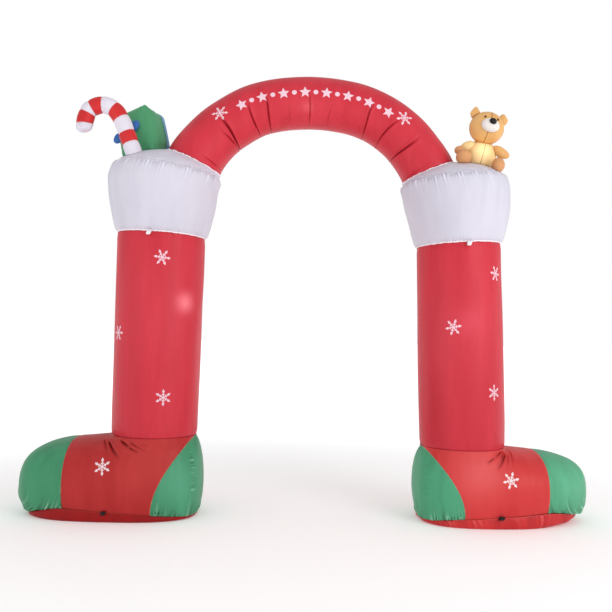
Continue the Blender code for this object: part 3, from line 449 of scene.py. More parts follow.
def clothMaterial(name, look, flakes=(), row=None, glowSpots=()):
    # Nylon with its prints, painted shade and highlights from its folds, the glow of the lamps behind it, and painted
    # light where no lamp is
    material = bpy.data.materials.new(name)
    material.use_nodes = True
    tree = material.node_tree
    shader = tree.nodes["Principled BSDF"]
    point = tree.nodes.new("ShaderNodeTexCoord").outputs["Object"]
    printPlace = tree.nodes.new("ShaderNodeUVMap")
    printPlace.uv_map = "clothPlace"
    seam = tree.nodes.new("ShaderNodeAttribute")
    seam.attribute_name = "seamDistance"
    fold = tree.nodes.new("ShaderNodeAttribute")
    fold.attribute_name = "fold"
    # The valley colour is painted shade and the ridge colour is painted highlight
    valleyShade = [look.get("valleyShade", 0.45) * value for value in look["shade"]]
    ridge = [min(1.0, 1.15 * value + look.get("ridge", 0.05)) for value in look["colour"]]
    cloth = useGroup(tree, "cloth", Point=point, Colour=opaque(look["colour"]), Shade=opaque(look["shade"]),
                     EdgeColour=opaque(look["edge"]), Valley=opaque(valleyShade), Ridge=opaque(ridge),
                     Fold=fold.outputs["Fac"], SeamDistance=seam.outputs["Fac"],
                     EdgeWidth=look.get("edgeWidth", 0.004))
    colour = cloth["Colour"]
    ink = opaque(look.get("ink", (0.80, 0.56, 0.64)))
    for centreU, centreV, size, turned in flakes:
        mask = useGroup(tree, "flake", Place=printPlace.outputs[0], CentreU=centreU, CentreV=centreV,
                        Size=size, Turn=turned)["Mask"]
        colour = colourMix(tree, mask, colour, ink)
    if row:
        mask = useGroup(tree, "row", Place=printPlace.outputs[0], **row)["Mask"]
        colour = colourMix(tree, mask, colour, ink)
    tree.links.new(colour, shader.inputs["Base Color"])
    tree.links.new(cloth["Roughness"], shader.inputs["Roughness"])
    bump = tree.nodes.new("ShaderNodeBump")
    bump.inputs["Strength"].default_value = look.get("bump", 0.35)
    bump.inputs["Distance"].default_value = 0.01
    tree.links.new(cloth["Height"], bump.inputs["Height"])
    tree.links.new(bump.outputs["Normal"], shader.inputs["Normal"])
    shader.inputs["Sheen Weight"].default_value = look.get("sheen", 0.0)
    shader.inputs["Sheen Roughness"].default_value = 0.45
    shader.inputs["Specular IOR Level"].default_value = look.get("gloss", 0.22)
    glow = None
    for lamp, reach, light in glowSpots:
        lit = useGroup(tree, "lamp", Point=point, Lamp=lamp, Reach=reach, Colour=opaque(light))["Colour"]
        if glow is not None:
            both = tree.nodes.new("ShaderNodeVectorMath")
            tree.links.new(glow, both.inputs[0])
            tree.links.new(lit, both.inputs[1])
            lit = both.outputs[0]
        glow = lit
    if glow is not None:
        tree.links.new(glow, shader.inputs["Emission Color"])
        shader.inputs["Emission Strength"].default_value = 1.0
    return material


def spot(x, y, z):
    # A point of the drawing in the object's own frame
    return (x - centreShift[0], y - centreShift[1], z)


# Boots

boots = {
    "left": SimpleNamespace(
        side="left", toeWay=-1, yaw=math.radians(-1), ankleX=-0.813, ankleZ=0.426, ankleRadius=0.228,
        heelReach=0.268, toeReach=0.710, tipZ=0.125, tipPower=1.5, halfDepth=0.276, soleZ=0.036, soleSlope=0.068,
        toeDip=0.071, heelDip=0.011, soleTuck=1.0, toeSeam=0.420, heelSeam=0.034, planPower=2.8,
        legTopX=-0.801, legTopZ=1.504, legTopRadius=0.236, legTopSlope=-0.050),
    "right": SimpleNamespace(
        side="right", toeWay=1, yaw=math.radians(5), ankleX=0.858, ankleZ=0.394, ankleRadius=0.227,
        heelReach=0.262, toeReach=0.684, tipZ=0.145, tipPower=2.1, halfDepth=0.276, soleZ=0.049, soleSlope=0.070,
        toeDip=0.055, heelDip=0.021, soleTuck=4.2, toeSeam=0.395, heelSeam=0.044, planPower=2.15,
        legTopX=0.8255, legTopZ=1.480, legTopRadius=0.226, legTopSlope=0.058),
}
footForm = {
    "seamHalfDepth": 0.252, "widestZ": 0.175, "widestAlong": 0.22, "soleTipInset": 0.055, "instepSlope": 0.13,
    "heelTuck": 0.026, "outlinePower": 2.9, "heelPlanPower": 2.8, "crownPower": 2.3, "heelSeamPower": 1.75,
    "heelRisePower": 2.2, "heelDipFrom": -0.06, "dipPower": 1.4, "soleDrop": 0.0006,
}
# Creases that fan out from the ankle: start and end along the foot and in height, depth, half width
footCreases = {
    "left": (
        (0.232, 0.399, 0.188, 0.347, 0.008, 0.008),
        (0.204, 0.396, 0.132, 0.325, 0.014, 0.010),
        (0.132, 0.409, 0.080, 0.378, 0.014, 0.011),
        (0.080, 0.378, 0.028, 0.353, 0.011, 0.008),
        (0.076, 0.402, -0.008, 0.359, 0.009, 0.007),
        (0.024, 0.396, -0.030, 0.388, 0.004, 0.006),
    ),
    "right": (
        (0.164, 0.384, 0.108, 0.358, 0.009, 0.008),
        (0.108, 0.358, 0.064, 0.332, 0.012, 0.008),
        (0.176, 0.376, 0.108, 0.313, 0.011, 0.008),
        (0.184, 0.370, 0.120, 0.305, 0.013, 0.008),
        (0.196, 0.365, 0.168, 0.310, 0.006, 0.008),
        (0.224, 0.378, 0.200, 0.313, 0.005, 0.008),
    ),
}
footLooks = {
    "puckerDepth": 0.0080, "puckerReach": 0.042, "puckerPitch": 0.036,
    "vampPucker": 0.0012, "seamDraw": 0.0036, "seamReach": 0.006,
    "heelTicks": {"left": 0.0042, "right": 0.0020}, "heelTickPitch": 0.024, "swell": 0.0020,
    "creaseWidth": 0.62, "creaseDepth": 1.00, "creaseRidge": 0.55, "ridgeAway": 1.7, "backCreases": 0.6,
    "ankleDraw": 0.0010, "ankleGathers": 0.0016, "anklePitch": 0.034, "tickShade": 220.0,
}
soleLooks = {
    "around": 360, "rows": 22, "folds": {"left": 0.0016, "right": 0.0048}, "foldCount": 40, "seamDraw": 0.0025,
    # How far the side strip stands in from the seam, from the floor up: at the sides and at the ends
    "heights": (0.0, 0.14, 0.55, 1.0), "sideInset": (0.007, 0.000, -0.004, 0.0), "endInset": (0.024, 0.014, 0.004, 0.0),
}


def soleHeight(boot, along):
    # The sole seam's height, dipping towards the toe and the heel
    seamTip, dipFrom = boot.toeReach - footForm["soleTipInset"], footForm["heelDipFrom"]
    toToe = np.clip((along - boot.toeSeam) / (seamTip - boot.toeSeam), 0.0, 1.0)
    toHeel = np.clip((dipFrom - along) / (dipFrom + boot.heelReach), 0.0, 1.0)
    dip = boot.toeDip * toToe ** footForm["dipPower"] + boot.heelDip * toHeel ** footForm["dipPower"]
    return boot.soleZ + boot.soleSlope * along - dip


def toeEnd(boot, along, z):
    share = (z - boot.tipZ) / (boot.ankleZ - boot.tipZ)
    above = mix(boot.ankleRadius, boot.toeReach, rounded(np.maximum(share, 0.0), footForm["outlinePower"]))
    share = (boot.tipZ - z) / (boot.tipZ - soleHeight(boot, along))
    below = boot.toeReach - footForm["soleTipInset"] * (1.0 - rounded(np.maximum(share, 0.0), boot.tipPower))
    return np.where(z >= boot.tipZ, above, below)


def heelEnd(boot, along, z):
    widest = footForm["widestZ"]
    share = np.clip((z - widest) / (boot.ankleZ - widest), 0.0, 1.0)
    above = -mix(boot.heelReach, boot.ankleRadius, share ** footForm["heelRisePower"])
    share = (widest - z) / (widest - soleHeight(boot, along))
    below = -boot.heelReach + footForm["heelTuck"] * share * share
    return np.where(z >= widest, above, below)


def instepDrop(boot, along):
    past = np.maximum(0.0, along - boot.ankleRadius)
    return footForm["instepSlope"] * past * (1.0 - past / (boot.toeReach - boot.ankleRadius))


def footTop(boot, along):
    share = np.clip((along - boot.ankleRadius) / (boot.toeReach - boot.ankleRadius), 0.0, 1.0)
    slope = mix(boot.tipZ, boot.ankleZ, rounded(share, footForm["outlinePower"])) - instepDrop(boot, along)
    return np.where(along <= boot.ankleRadius, boot.ankleZ, slope)


def footBottom(boot, along):
    seam = soleHeight(boot, along)
    tip = boot.toeReach - footForm["soleTipInset"]
    share = np.clip((along - tip) / footForm["soleTipInset"], 0.0, 1.0)
    return np.where(along <= tip, seam, boot.tipZ - (boot.tipZ - seam) * rounded(share, boot.tipPower))


def footHalfDepth(boot, along, z):
    widest, middle = footForm["widestZ"], footForm["widestAlong"]
    rise = (z - widest) / (footTop(boot, along) - widest)
    lifted = np.minimum(boot.ankleZ, z + instepDrop(boot, along) * np.clip(rise, 0.0, 1.0))
    z = np.where(z > widest, lifted, z)
    share = (z - widest) / (boot.ankleZ - widest)
    crown = boot.halfDepth * rounded(np.maximum(share, 0.0), footForm["crownPower"])
    share = np.clip((widest - z) / (widest - soleHeight(boot, along)), 0.0, 1.2)
    base = mix(boot.halfDepth, footForm["seamHalfDepth"], share * share)
    depth = np.where(z >= widest, crown, base)
    toToe = rounded((along - middle) / (toeEnd(boot, along, z) - middle), boot.planPower)
    toHeel = rounded((middle - along) / (middle - heelEnd(boot, along, z)), footForm["heelPlanPower"])
    foot = depth * np.where(along > middle, toToe, toHeel)
    inside = np.maximum(0.0, boot.ankleRadius ** 2 - along ** 2)
    leg = np.sqrt(inside) * smoothStep(widest, boot.ankleZ, z)
    return (foot ** 4 + leg ** 4) ** 0.25


def footPlace(boot, along, side, z):
    cos, sin = math.cos(boot.yaw), math.sin(boot.yaw)
    x = boot.toeWay * along
    return np.stack([boot.ankleX + x * cos - side * sin, x * sin + side * cos, z], axis=-1)


def heelSeamAlong(boot, height):
    return -mix(boot.heelSeam, boot.ankleRadius, height ** footForm["heelSeamPower"])


def creaseDepth(boot, along, z):
    total = np.zeros_like(along)
    for alongA, zA, alongB, zB, depth, width in footCreases[boot.side]:
        run = np.array([alongB - alongA, zB - zA])
        offsetA, offsetZ = along - alongA, z - zA
        share = np.clip((offsetA * run[0] + offsetZ * run[1]) / (run @ run), 0.0, 1.0)
        reach = footLooks["creaseWidth"] * width * (0.7 + 0.8 * share)
        away = np.hypot(offsetA - run[0] * share, offsetZ - run[1] * share) / reach
        side = np.sign(offsetA * run[1] - offsetZ * run[0])
        ridge = footLooks["creaseRidge"] * np.exp(-(away - footLooks["ridgeAway"] * side) ** 2) * (away > 0.2)
        total -= footLooks["creaseDepth"] * depth * (np.exp(-away ** 2) - ridge) * (1.0 - 0.85 * share ** 2)
    return total


def footSheets(boot, along, z, panel):
    # Front and back sheets of one boot panel, with what its cloth does
    depth = footHalfDepth(boot, along, z)
    sheets = []
    for faceWay in (-1, 1):
        points = footPlace(boot, along, faceWay * depth, z)
        seed = {"vamp": 3, "toe": 5, "heel": 9}[panel] + (20 if boot.side == "right" else 0) + (faceWay > 0) * 40
        aboveSole = z - footBottom(boot, along)
        seams = {"sole": aboveSole}
        if panel == "toe":
            seams["toe"] = along - boot.toeSeam
        if panel == "vamp":
            seams["toe"] = boot.toeSeam - along
            inAnkle = np.abs(along) < boot.ankleRadius
            seams["ankle"] = np.where(inAnkle, boot.ankleZ - z, np.hypot(boot.ankleZ - z, along - boot.ankleRadius))
        share = (z - footBottom(boot, along)) / np.maximum(footTop(boot, along) - footBottom(boot, along), 1e-6)
        heelLine = np.abs(along - heelSeamAlong(boot, np.clip(share, 0.0, 1.0))) * 0.8
        if panel in ("vamp", "heel"):
            seams["heel"] = heelLine
        ankle = seams.pop("ankle", np.ones_like(along))
        nearest = np.minimum.reduce(list(seams.values()))
        amount = -footLooks["seamDraw"] * near(nearest, footLooks["seamReach"])
        amount = amount - footLooks["ankleDraw"] * near(ankle, 0.006)
        puckerDepth = footLooks["vampPucker"] if panel == "vamp" else footLooks["puckerDepth"]
        wave = lineWave(along + 0.8 * (depth - 0.2) + 0.10 * (z - 0.05), footLooks["puckerPitch"], seed)
        reach = footLooks["puckerReach"] * (1.0 + 0.7 * lineWave(along, 0.09, seed + 1))
        pucker = pleats(wave) * near(aboveSole, np.maximum(reach, 0.007))
        pucker = pucker * mix(0.45, 1.0, smoothStep(0.0, 0.012, aboveSole))
        amount += puckerDepth * pucker
        # Fold values here set painted shade in the pucker valleys and painted highlight on their ridges
        fold = pucker * (0.25 if panel == "vamp" else 1.4)
        if panel == "heel":
            behind = along - heelEnd(boot, along, z)
            ticks = lineWave(z, footLooks["heelTickPitch"], seed + 2)
            middle = smoothStep(0.10, 0.16, z) * smoothStep(0.40, 0.30, z)
            tick = pleats(ticks) * near(np.abs(behind - 0.030), 0.012) * middle
            amount += footLooks["heelTicks"][boot.side] * tick
            fold = fold + footLooks["tickShade"] * footLooks["heelTicks"][boot.side] * tick
        if panel == "vamp":
            crease = creaseDepth(boot, along, z) * (1.0 if faceWay < 0 else footLooks["backCreases"])
            amount += crease
            fold = fold + crease / 0.010
            gathers = lineWave(along, footLooks["anklePitch"], seed + 4)
            amount += footLooks["ankleGathers"] * gathers * near(ankle, 0.020) * smoothStep(0.0, 0.008, ankle)
        amount += footLooks["swell"] * np.sin(7.0 * along + 9.0 * z + seed) * smoothStep(0.0, 0.05, nearest)
        amount *= smoothStep(0.0, 0.035, depth)
        points = pushed(points, amount)
        offset = 0.0 if faceWay < 0 else 10.0
        flat = np.stack([points[..., 0] + offset, points[..., 2]], axis=-1)
        sheets.append((points, flat, np.maximum(nearest, 0.0), fold))
    return sheets


def panelMesh(name, boot, along, z, panel):
    sheets = footSheets(boot, along, z, panel)
    front, back = sheets[0][0], sheets[1][0]
    walls = []
    for edge in gridEdges:
        a, b = front[edge], back[edge]
        if np.linalg.norm(a - b, axis=1).max() < 1e-4:
            continue
        strip = np.stack([a, b], axis=1)
        walls.append((strip, plainCloth, 1.0, 0.0))
    return gridMesh(name, sheets + walls)


def vampGrid(boot):
    radius = boot.ankleRadius
    overAnkle = -radius * np.cos(np.pi * np.arange(111) / 110)
    toToe = mix(radius, boot.toeSeam, easedEnds(52)[1:])
    places = np.concatenate([overAnkle, toToe])
    share = (places + radius) / (boot.toeSeam + radius)
    height = easedEnds(98)
    heel = heelSeamAlong(boot, height) + seamGap
    along = mix(heel[None, :], boot.toeSeam - seamGap, share[:, None])
    z = mix(footBottom(boot, along) + seamGap, footTop(boot, along), height[None, :])
    return along, z


def toeGrid(boot):
    places = mix(boot.toeSeam + seamGap, boot.toeReach, easedEnd(76))
    height = easedEnds(88)
    along = np.repeat(places[:, None], len(height), axis=1)
    z = mix(footBottom(boot, along) + seamGap, footTop(boot, along), height[None, :])
    return along, z


def heelGrid(boot):
    shares, height = easedEnd(52), easedEnds(88)
    seam = heelSeamAlong(boot, height)
    base = mix(soleHeight(boot, -boot.heelReach) + seamGap, boot.ankleZ - seamGap, height)
    end = heelEnd(boot, -boot.heelReach, base)
    start = np.minimum(seam - seamGap, 0.0)
    along = mix(start[None, :], np.minimum(end, seam - 2 * seamGap)[None, :], shares[:, None])
    z = mix(soleHeight(boot, along) + seamGap, boot.ankleZ - seamGap, height[None, :])
    return along, z


def makeSole(boot):
    depth = soleLooks["folds"][boot.side]
    angle = turn * np.arange(soleLooks["around"] + 1) / soleLooks["around"]
    height = easedEnds(soleLooks["rows"])
    sideInset = smoothTable(height, soleLooks["heights"], soleLooks["sideInset"])[:, None]
    endInset = smoothTable(height, soleLooks["heights"], soleLooks["endInset"])[:, None]
    across, up = np.cos(angle)[None, :], np.sin(angle)[None, :]
    middle = footForm["widestAlong"]
    seamToe = boot.toeReach - footForm["soleTipInset"]
    seamHeel = heelEnd(boot, np.array(-boot.heelReach), soleHeight(boot, np.array(-boot.heelReach)))
    reach = np.where(across > 0, seamToe - middle, middle - seamHeel)
    power = np.where(across > 0, 2.0 / boot.planPower, 2.0 / footForm["heelPlanPower"])
    inset = endInset * np.where(across > 0, boot.soleTuck, 1.0)
    along = middle + (reach - inset) * np.sign(across) * np.abs(across) ** power
    side = (footForm["seamHalfDepth"] - sideInset) * np.sign(up) * np.abs(up) ** power
    z = (soleHeight(boot, along) - footForm["soleDrop"]) * height[:, None]
    points = footPlace(boot, along, side, z)
    rows = np.repeat(height[:, None], len(angle), axis=1)
    fromSeam = (1.0 - rows) * 0.055
    folds = pleats(ringWave(angle[None, :] + 0.04 * rows, soleLooks["foldCount"], 71 if boot.side == "left" else 72))
    some = smoothStep(-0.6, 0.5, ringWave(angle, 7, 77))[None, :]
    folds = folds * some * (0.45 + 0.55 * rows)
    amount = depth * folds * np.sin(np.pi * np.clip(rows, 0.0, 1.0)) ** 0.6
    amount = amount - soleLooks["seamDraw"] * near(fromSeam, 0.004)
    # Fold values for painted shade in the strip's valleys and painted highlight on its ridges
    folds = folds * depth / 0.006
    points = pushed(points, amount, around=True)
    points[0, :, 2] = 0.0
    flat = np.stack([points[..., 0] + 30.0, points[..., 2]], axis=-1)
    return gridMesh("sole_" + boot.side + "_cloth", [(points, flat, fromSeam, folds)], capped=True)


legForm = {
    "swellAt": (0.0, 0.025, 0.12, 0.40, 0.70, 0.97, 1.0),
    "swell": (-0.004, 0.001, 0.003, 0.003, 0.002, 0.001, -0.003),
    "topCount": 24, "topGathers": 0.0022, "topReach": 0.026,
    "bottomCount": 20, "bottomGathers": 0.0014, "bottomReach": 0.030, "seamDraw": 0.0022, "roll": 0.0016,
}


def makeLeg(boot):
    angle = np.linspace(-np.pi, np.pi, 193)[None, :]
    height = easedEnds(72)[:, None]
    radius = mix(boot.ankleRadius, boot.legTopRadius, height) + np.interp(height, legForm["swellAt"], legForm["swell"])
    x = mix(boot.ankleX, boot.legTopX, height)
    z = mix(boot.ankleZ + seamGap, boot.legTopZ - seamGap, height)
    slope = boot.legTopSlope * height
    run = 1.0 / np.sqrt(1.0 + slope * slope)
    out = radius * np.sin(angle)
    points = np.stack([x + out * run, -radius * np.cos(angle) + 0.0 * height, z + out * run * slope], axis=-1)
    length = boot.legTopZ - boot.ankleZ
    fromTop, fromBottom = (1.0 - height) * length, height * length
    seed = 101 if boot.side == "left" else 131
    amount = -legForm["seamDraw"] * (near(fromTop, 0.006) + 0.4 * near(fromBottom, 0.007))
    top = pleats(ringWave(angle, legForm["topCount"], seed)) * near(fromTop, legForm["topReach"])
    bottom = pleats(ringWave(angle, legForm["bottomCount"], seed + 1)) * near(fromBottom, legForm["bottomReach"])
    bottom = bottom * smoothStep(0.0, 0.008, fromBottom)
    amount = amount + legForm["topGathers"] * top + legForm["bottomGathers"] * bottom
    amount = amount + legForm["roll"] * ringWave(angle + 0.5 * np.sin(4.0 * height), 4, seed + 2)
    points = pushed(points, amount, around=True)
    flat = np.stack([angle * radius, points[..., 2]], axis=-1)
    seam = np.minimum(fromTop, fromBottom) + 0.0 * angle
    # The gathers' fold values set painted shade and painted highlight
    return gridMesh("leg_" + boot.side + "_cloth", [(points, flat, seam, 0.35 * (top + bottom))], capped=True)


# Cuffs

cuffs = {
    "left": SimpleNamespace(side="left", upperX=-0.7735, upperZ=1.862, upperRadius=0.2790, upperSlope=-0.140,
                            middleX=-0.799, widestRadius=0.2990, rippleTurn=0.4),
    "right": SimpleNamespace(side="right", upperX=0.7880, upperZ=1.838, upperRadius=0.2700, upperSlope=0.115,
                             middleX=0.8090, widestRadius=0.2905, rippleTurn=1.9),
}
cuffForm = {
    "heights": (0.0, 0.045, 0.13, 0.30, 0.50, 0.70, 0.85, 0.95, 1.0),
    "spread": (0.0, 0.20, 0.37, 0.60, 0.83, 0.97, 1.0, 0.91, None),
    "topCount": 46, "topGathers": 0.0072, "topReach": 0.034,
    "bottomCount": 50, "bottomGathers": 0.0026, "bottomReach": 0.016,
    "rimGathers": 0.0042, "rimReach": 0.020, "archCount": 30, "archGathers": 0.0022, "archReach": 0.018,
    "archDraw": 0.003, "seamDraw": 0.004, "roll": 0.0018, "hem": 0.0048, "around": 576,
    "crown": 0.022, "crownWidth": 0.25, "crownLean": 0.35,
}


def ringPoints(x, z, slope, radius, angle, depthRatio=1.0, lift=0.0):
    run = 1.0 / np.sqrt(1.0 + slope * slope)
    out = radius * np.sin(angle)
    return np.stack([x + out * run - lift * slope * run, -radius * depthRatio * np.cos(angle) + 0.0 * (x + z),
                     z + out * run * slope + lift * run], axis=-1)


def hemTube(ring, radius, around=6):
    # A thin rolled edge along a closed ring of points
    ahead = np.roll(ring[:-1], -1, axis=0) - np.roll(ring[:-1], 1, axis=0)
    ahead = np.concatenate([ahead, ahead[:1]])
    ahead /= np.linalg.norm(ahead, axis=1, keepdims=True)
    upward = np.array([0.0, 0.0, 1.0])
    side = np.cross(ahead, upward)
    side /= np.linalg.norm(side, axis=1, keepdims=True)
    rise = np.cross(side, ahead)
    angle = turn * np.arange(around + 1) / around
    return (ring[:, None, :] + radius * (np.cos(angle)[None, :, None] * side[:, None, :]
                                         + np.sin(angle)[None, :, None] * rise[:, None, :]))


def makeCuffBand(boot, cuff):
    angle = np.linspace(-np.pi, np.pi, cuffForm["around"] + 1)[None, :]
    height = easedEnds(52)[:, None]
    topSpread = (cuff.upperRadius - boot.legTopRadius) / (cuff.widestRadius - boot.legTopRadius)
    spread = [topSpread if s is None else s for s in cuffForm["spread"]]
    radius = mix(boot.legTopRadius, cuff.widestRadius, smoothTable(height, cuffForm["heights"], spread))
    x = mix(boot.legTopX, cuff.middleX, smoothStep(0.35, 0.85, height))
    x = mix(x, cuff.upperX, smoothStep(0.75, 1.05, height))
    z = mix(boot.legTopZ + seamGap, cuff.upperZ - seamGap, height)
    slope = mix(boot.legTopSlope, cuff.upperSlope, height)
    points = ringPoints(x, z, slope, radius, angle)
    length = cuff.upperZ - boot.legTopZ
    fromTop, fromBottom = (1.0 - height) * length, height * length
    seed = 201 if cuff.side == "left" else 231
    reach = np.maximum(0.008, cuffForm["topReach"] * (1.0 + 0.7 * ringWave(angle, 9, seed + 3)))
    top = pleats(ringWave(angle, cuffForm["topCount"], seed)) * near(fromTop, reach) * smoothStep(0.0, 0.009, fromTop)
    bottom = pleats(ringWave(angle, cuffForm["bottomCount"], seed + 1)) * near(fromBottom, cuffForm["bottomReach"])
    amount = cuffForm["topGathers"] * top + cuffForm["bottomGathers"] * bottom
    amount = amount - cuffForm["seamDraw"] * near(fromBottom, 0.004)
    amount = amount + cuffForm["roll"] * ringWave(angle + 0.3 * height, 7, seed + 2) * np.sin(np.pi * height)
    points = pushed(points, amount, around=True)
    flat = np.stack([angle * radius, points[..., 2]], axis=-1)
    seam = fromBottom + 0.0 * angle
    hem = hemTube(points[1], cuffForm["hem"])
    # The gathers' fold values set painted shade and painted highlight
    return gridMesh("cuff_band_" + cuff.side + "_cloth",
                    [(points, flat, seam, top + 0.7 * bottom), (hem, plainCloth, 0.0, 0.0)], capped=True)


def makeCuffTop(cuff):
    angle = np.linspace(-np.pi, np.pi, cuffForm["around"] + 1)
    end, slope = archEnd(cuff)
    outer = ringPoints(cuff.upperX, cuff.upperZ, cuff.upperSlope, cuff.upperRadius, angle)
    inner = ringPoints(end[0], end[1], slope, end[2] + 0.001, angle, archForm["depthRatio"], -seamGap)
    share = easedEnds(22)[:, None, None]
    width = np.linalg.norm(inner - outer, axis=1)
    crown = cuffForm["crown"] * width / cuffForm["crownWidth"]
    lift = crown[None, :, None] * 4.0 * share * (1.0 - share) * (1.0 - cuffForm["crownLean"] * share)
    points = mix(outer[None], inner[None], share) + lift * np.array([0.0, 0.0, 1.0])
    fromOuter, fromInner = share[..., 0] * width, (1.0 - share[..., 0]) * width
    seed = 261 if cuff.side == "left" else 281
    gathers = pleats(ringWave(angle, cuffForm["topCount"], seed))[None, :] * near(fromOuter, cuffForm["rimReach"])
    gathers = gathers * smoothStep(0.01, 0.05, width)[None, :] * smoothStep(0.0, 0.009, fromOuter)
    archGathers = pleats(ringWave(angle, cuffForm["archCount"], seed + 1))[None, :]
    archGathers = archGathers * near(fromInner, cuffForm["archReach"])
    amount = cuffForm["rimGathers"] * gathers + cuffForm["archGathers"] * archGathers
    amount = amount - cuffForm["archDraw"] * near(fromInner, 0.004)
    points = pushed(points, amount, around=True)
    flat = np.stack([angle[None, :] * 0.25 + 0.0 * fromOuter, fromOuter], axis=-1)
    hem = hemTube(points[-2], cuffForm["hem"])
    # The gathers' fold values set painted shade and painted highlight
    return gridMesh("cuff_top_" + cuff.side + "_cloth",
                    [(points, flat, fromInner, 0.9 * gathers + 0.4 * archGathers), (hem, plainCloth, 0.0, 0.0)],
                    capped=True)


# Arched tube

archForm = {
    "points": ((-0.633, 1.908, 0.157), (-0.556, 2.022, 0.149), (-0.452, 2.119, 0.144), (-0.278, 2.215, 0.141),
               (-0.030, 2.252, 0.142), (0.210, 2.233, 0.140), (0.368, 2.178, 0.139), (0.500, 2.085, 0.142),
               (0.588, 1.984, 0.144), (0.6545, 1.8755, 0.149)),
    "leftSlope": -0.458, "rightSlope": 0.415, "depthRatio": 1.04, "rings": 380, "around": 120,
    # Creases: a point on the crease, how deep, half width, and how far up from the inner side it reaches
    "creases": ((-0.412, 2.030, 0.020, 0.0085, 0.62), (-0.428, 2.010, 0.010, 0.006, 0.45),
                (-0.275, 2.091, 0.014, 0.0065, 0.60), (-0.218, 2.122, 0.013, 0.0065, 0.66),
                (-0.010, 2.150, 0.010, 0.0060, 0.62), (0.306, 2.117, 0.013, 0.0065, 0.66),
                (0.394, 2.055, 0.013, 0.0065, 0.62), (0.494, 1.975, 0.016, 0.0075, 0.60),
                (-0.550, 1.905, 0.007, 0.008, 0.40), (0.585, 1.870, 0.006, 0.008, 0.40),
                (0.110, 2.140, 0.006, 0.008, 0.42), (-0.120, 2.140, 0.005, 0.008, 0.42)),
    # The printed row: its two ends on the front face, how far up the cloth, how many marks, and their size
    "rowFrom": (-0.362, 2.190), "rowTo": (0.418, 2.175), "rowLift": 0.020, "marks": 15, "markSize": 0.033,
}


def archEnd(cuff):
    if cuff.side == "left":
        return archForm["points"][0], archForm["leftSlope"]
    return archForm["points"][-1], archForm["rightSlope"]


def archLine(count, folds=()):
    # Centres, directions and half widths along the tube, and the length up to each; rings crowd at the folds
    table = np.array(archForm["points"])
    points = np.stack([table[:, 0], table[:, 1]], axis=1)
    first = np.array([-archForm["leftSlope"], 1.0])
    last = np.array([archForm["rightSlope"], -1.0])
    ways = [first] + [0.5 * (b - a) for a, b in zip(points, points[2:])] + [last]
    ways = [way / np.linalg.norm(way) for way in ways]
    spans = np.linalg.norm(points[1:] - points[:-1], axis=1)
    target = np.linspace(0.0, spans.sum(), count + 1)
    if folds:
        fine = np.linspace(0.0, spans.sum(), 4000)
        crowd = np.cumsum(1.0 + 5.0 * sum(np.exp(-((fine - fold) / 0.016) ** 2) for fold in folds))
        crowd = (crowd - crowd[0]) / (crowd[-1] - crowd[0])
        target = np.interp(np.linspace(0.0, 1.0, count + 1), crowd, fine)
    ends = np.concatenate([[0.0], np.cumsum(spans)])
    k = np.clip(np.searchsorted(ends, target, side="right") - 1, 0, len(spans) - 1)
    t = np.clip((target - ends[k]) / spans[k], 0.0, 1.0)[:, None]
    a, b = points[k], points[k + 1]
    wayA = np.array(ways)[k] * spans[k][:, None]
    wayB = np.array(ways)[k + 1] * spans[k][:, None]
    centres, heading = hermite(a, b, wayA, wayB, t)
    half = mix(table[k, 2], table[k + 1, 2], t[:, 0])
    return centres, heading, half, target


def archPlace(x, z):
    # Where a point of the arch's front face lies on its flat cloth: along the tube, and up its side
    centres, heading, half, target = archLine(800)
    k = int(np.argmin(np.abs(((np.array([x, z]) - centres) * heading).sum(axis=1))
                      + 10.0 * (np.linalg.norm(np.array([x, z]) - centres, axis=1) > 0.25)))
    outward = np.array([-heading[k][1], heading[k][0]])
    offset = float(np.clip((np.array([x, z]) - centres[k]) @ outward / half[k], -1.0, 1.0))
    return float(target[k]), float(half[k] * math.asin(offset))


def makeArch():
    folds = [archPlace(px, pz)[0] for px, pz, _, _, _ in archForm["creases"]]
    centres, heading, half, target = archLine(archForm["rings"], folds)
    angle = np.linspace(-np.pi, np.pi, archForm["around"] + 1)[None, :]
    outward = np.stack([-heading[:, 1], heading[:, 0]], axis=1)
    up, front = np.sin(angle), np.cos(angle)
    radius = half[:, None] + 0.0 * angle
    x = centres[:, 0:1] + outward[:, 0:1] * up * radius
    z = centres[:, 1:2] + outward[:, 1:2] * up * radius
    y = -front * radius * archForm["depthRatio"]
    points = np.stack([x, y, z], axis=-1)
    along = target[:, None] + 0.0 * angle
    # How far round from the inner side: 0 there and 1 at the outer side
    fromInner = 0.5 + 0.5 * up + 0.0 * along
    amount = np.zeros_like(along)
    fold = np.zeros_like(along)
    for k, (px, pz, depth, width, climbs) in enumerate(archForm["creases"]):
        at = folds[k]
        wobble = 0.010 * np.sin(5.0 * fromInner + 1.7 * k) + 0.012 * (fromInner - 0.3) * (-1) ** k
        wobble = wobble + 0.006 * np.sign(front) * np.sin(2.3 * k)
        away = (along - at - wobble) / (0.58 * width * (0.8 + 1.0 * fromInner))
        fade = smoothStep(climbs + 0.10, climbs - 0.28, fromInner)
        trough = np.exp(-away ** 2)
        shoulder = 0.34 * (np.exp(-(0.8 * away - 2.0) ** 2) + np.exp(-(0.8 * away + 2.0) ** 2))
        edge = 0.30 + 0.70 * smoothStep(0.0, 0.16, fromInner)
        amount -= 0.72 * depth * (trough - shoulder) * fade * edge
        # Painted shade in the crease trough and painted highlight on its shoulders
        fold -= depth / 0.015 * (trough - 0.8 * shoulder) * fade
    fromEnd = np.minimum(along, target[-1] - along)
    waves = ringWave(angle, 30, 301) + 0.0 * along
    amount += 0.0016 * pleats(waves) * near(fromEnd, 0.025) - 0.005 * near(fromEnd, 0.005)
    amount += 0.0020 * np.sin(9.0 * along + 2.0 * np.sin(angle)) * (1.0 - fromInner)
    points = pushed(points, amount, around=True)
    flat = np.stack([along, angle * half[:, None]], axis=-1)
    return gridMesh("arch_tube_cloth", [(points, flat, fromEnd, fold)], capped=True)


# Sweet cane

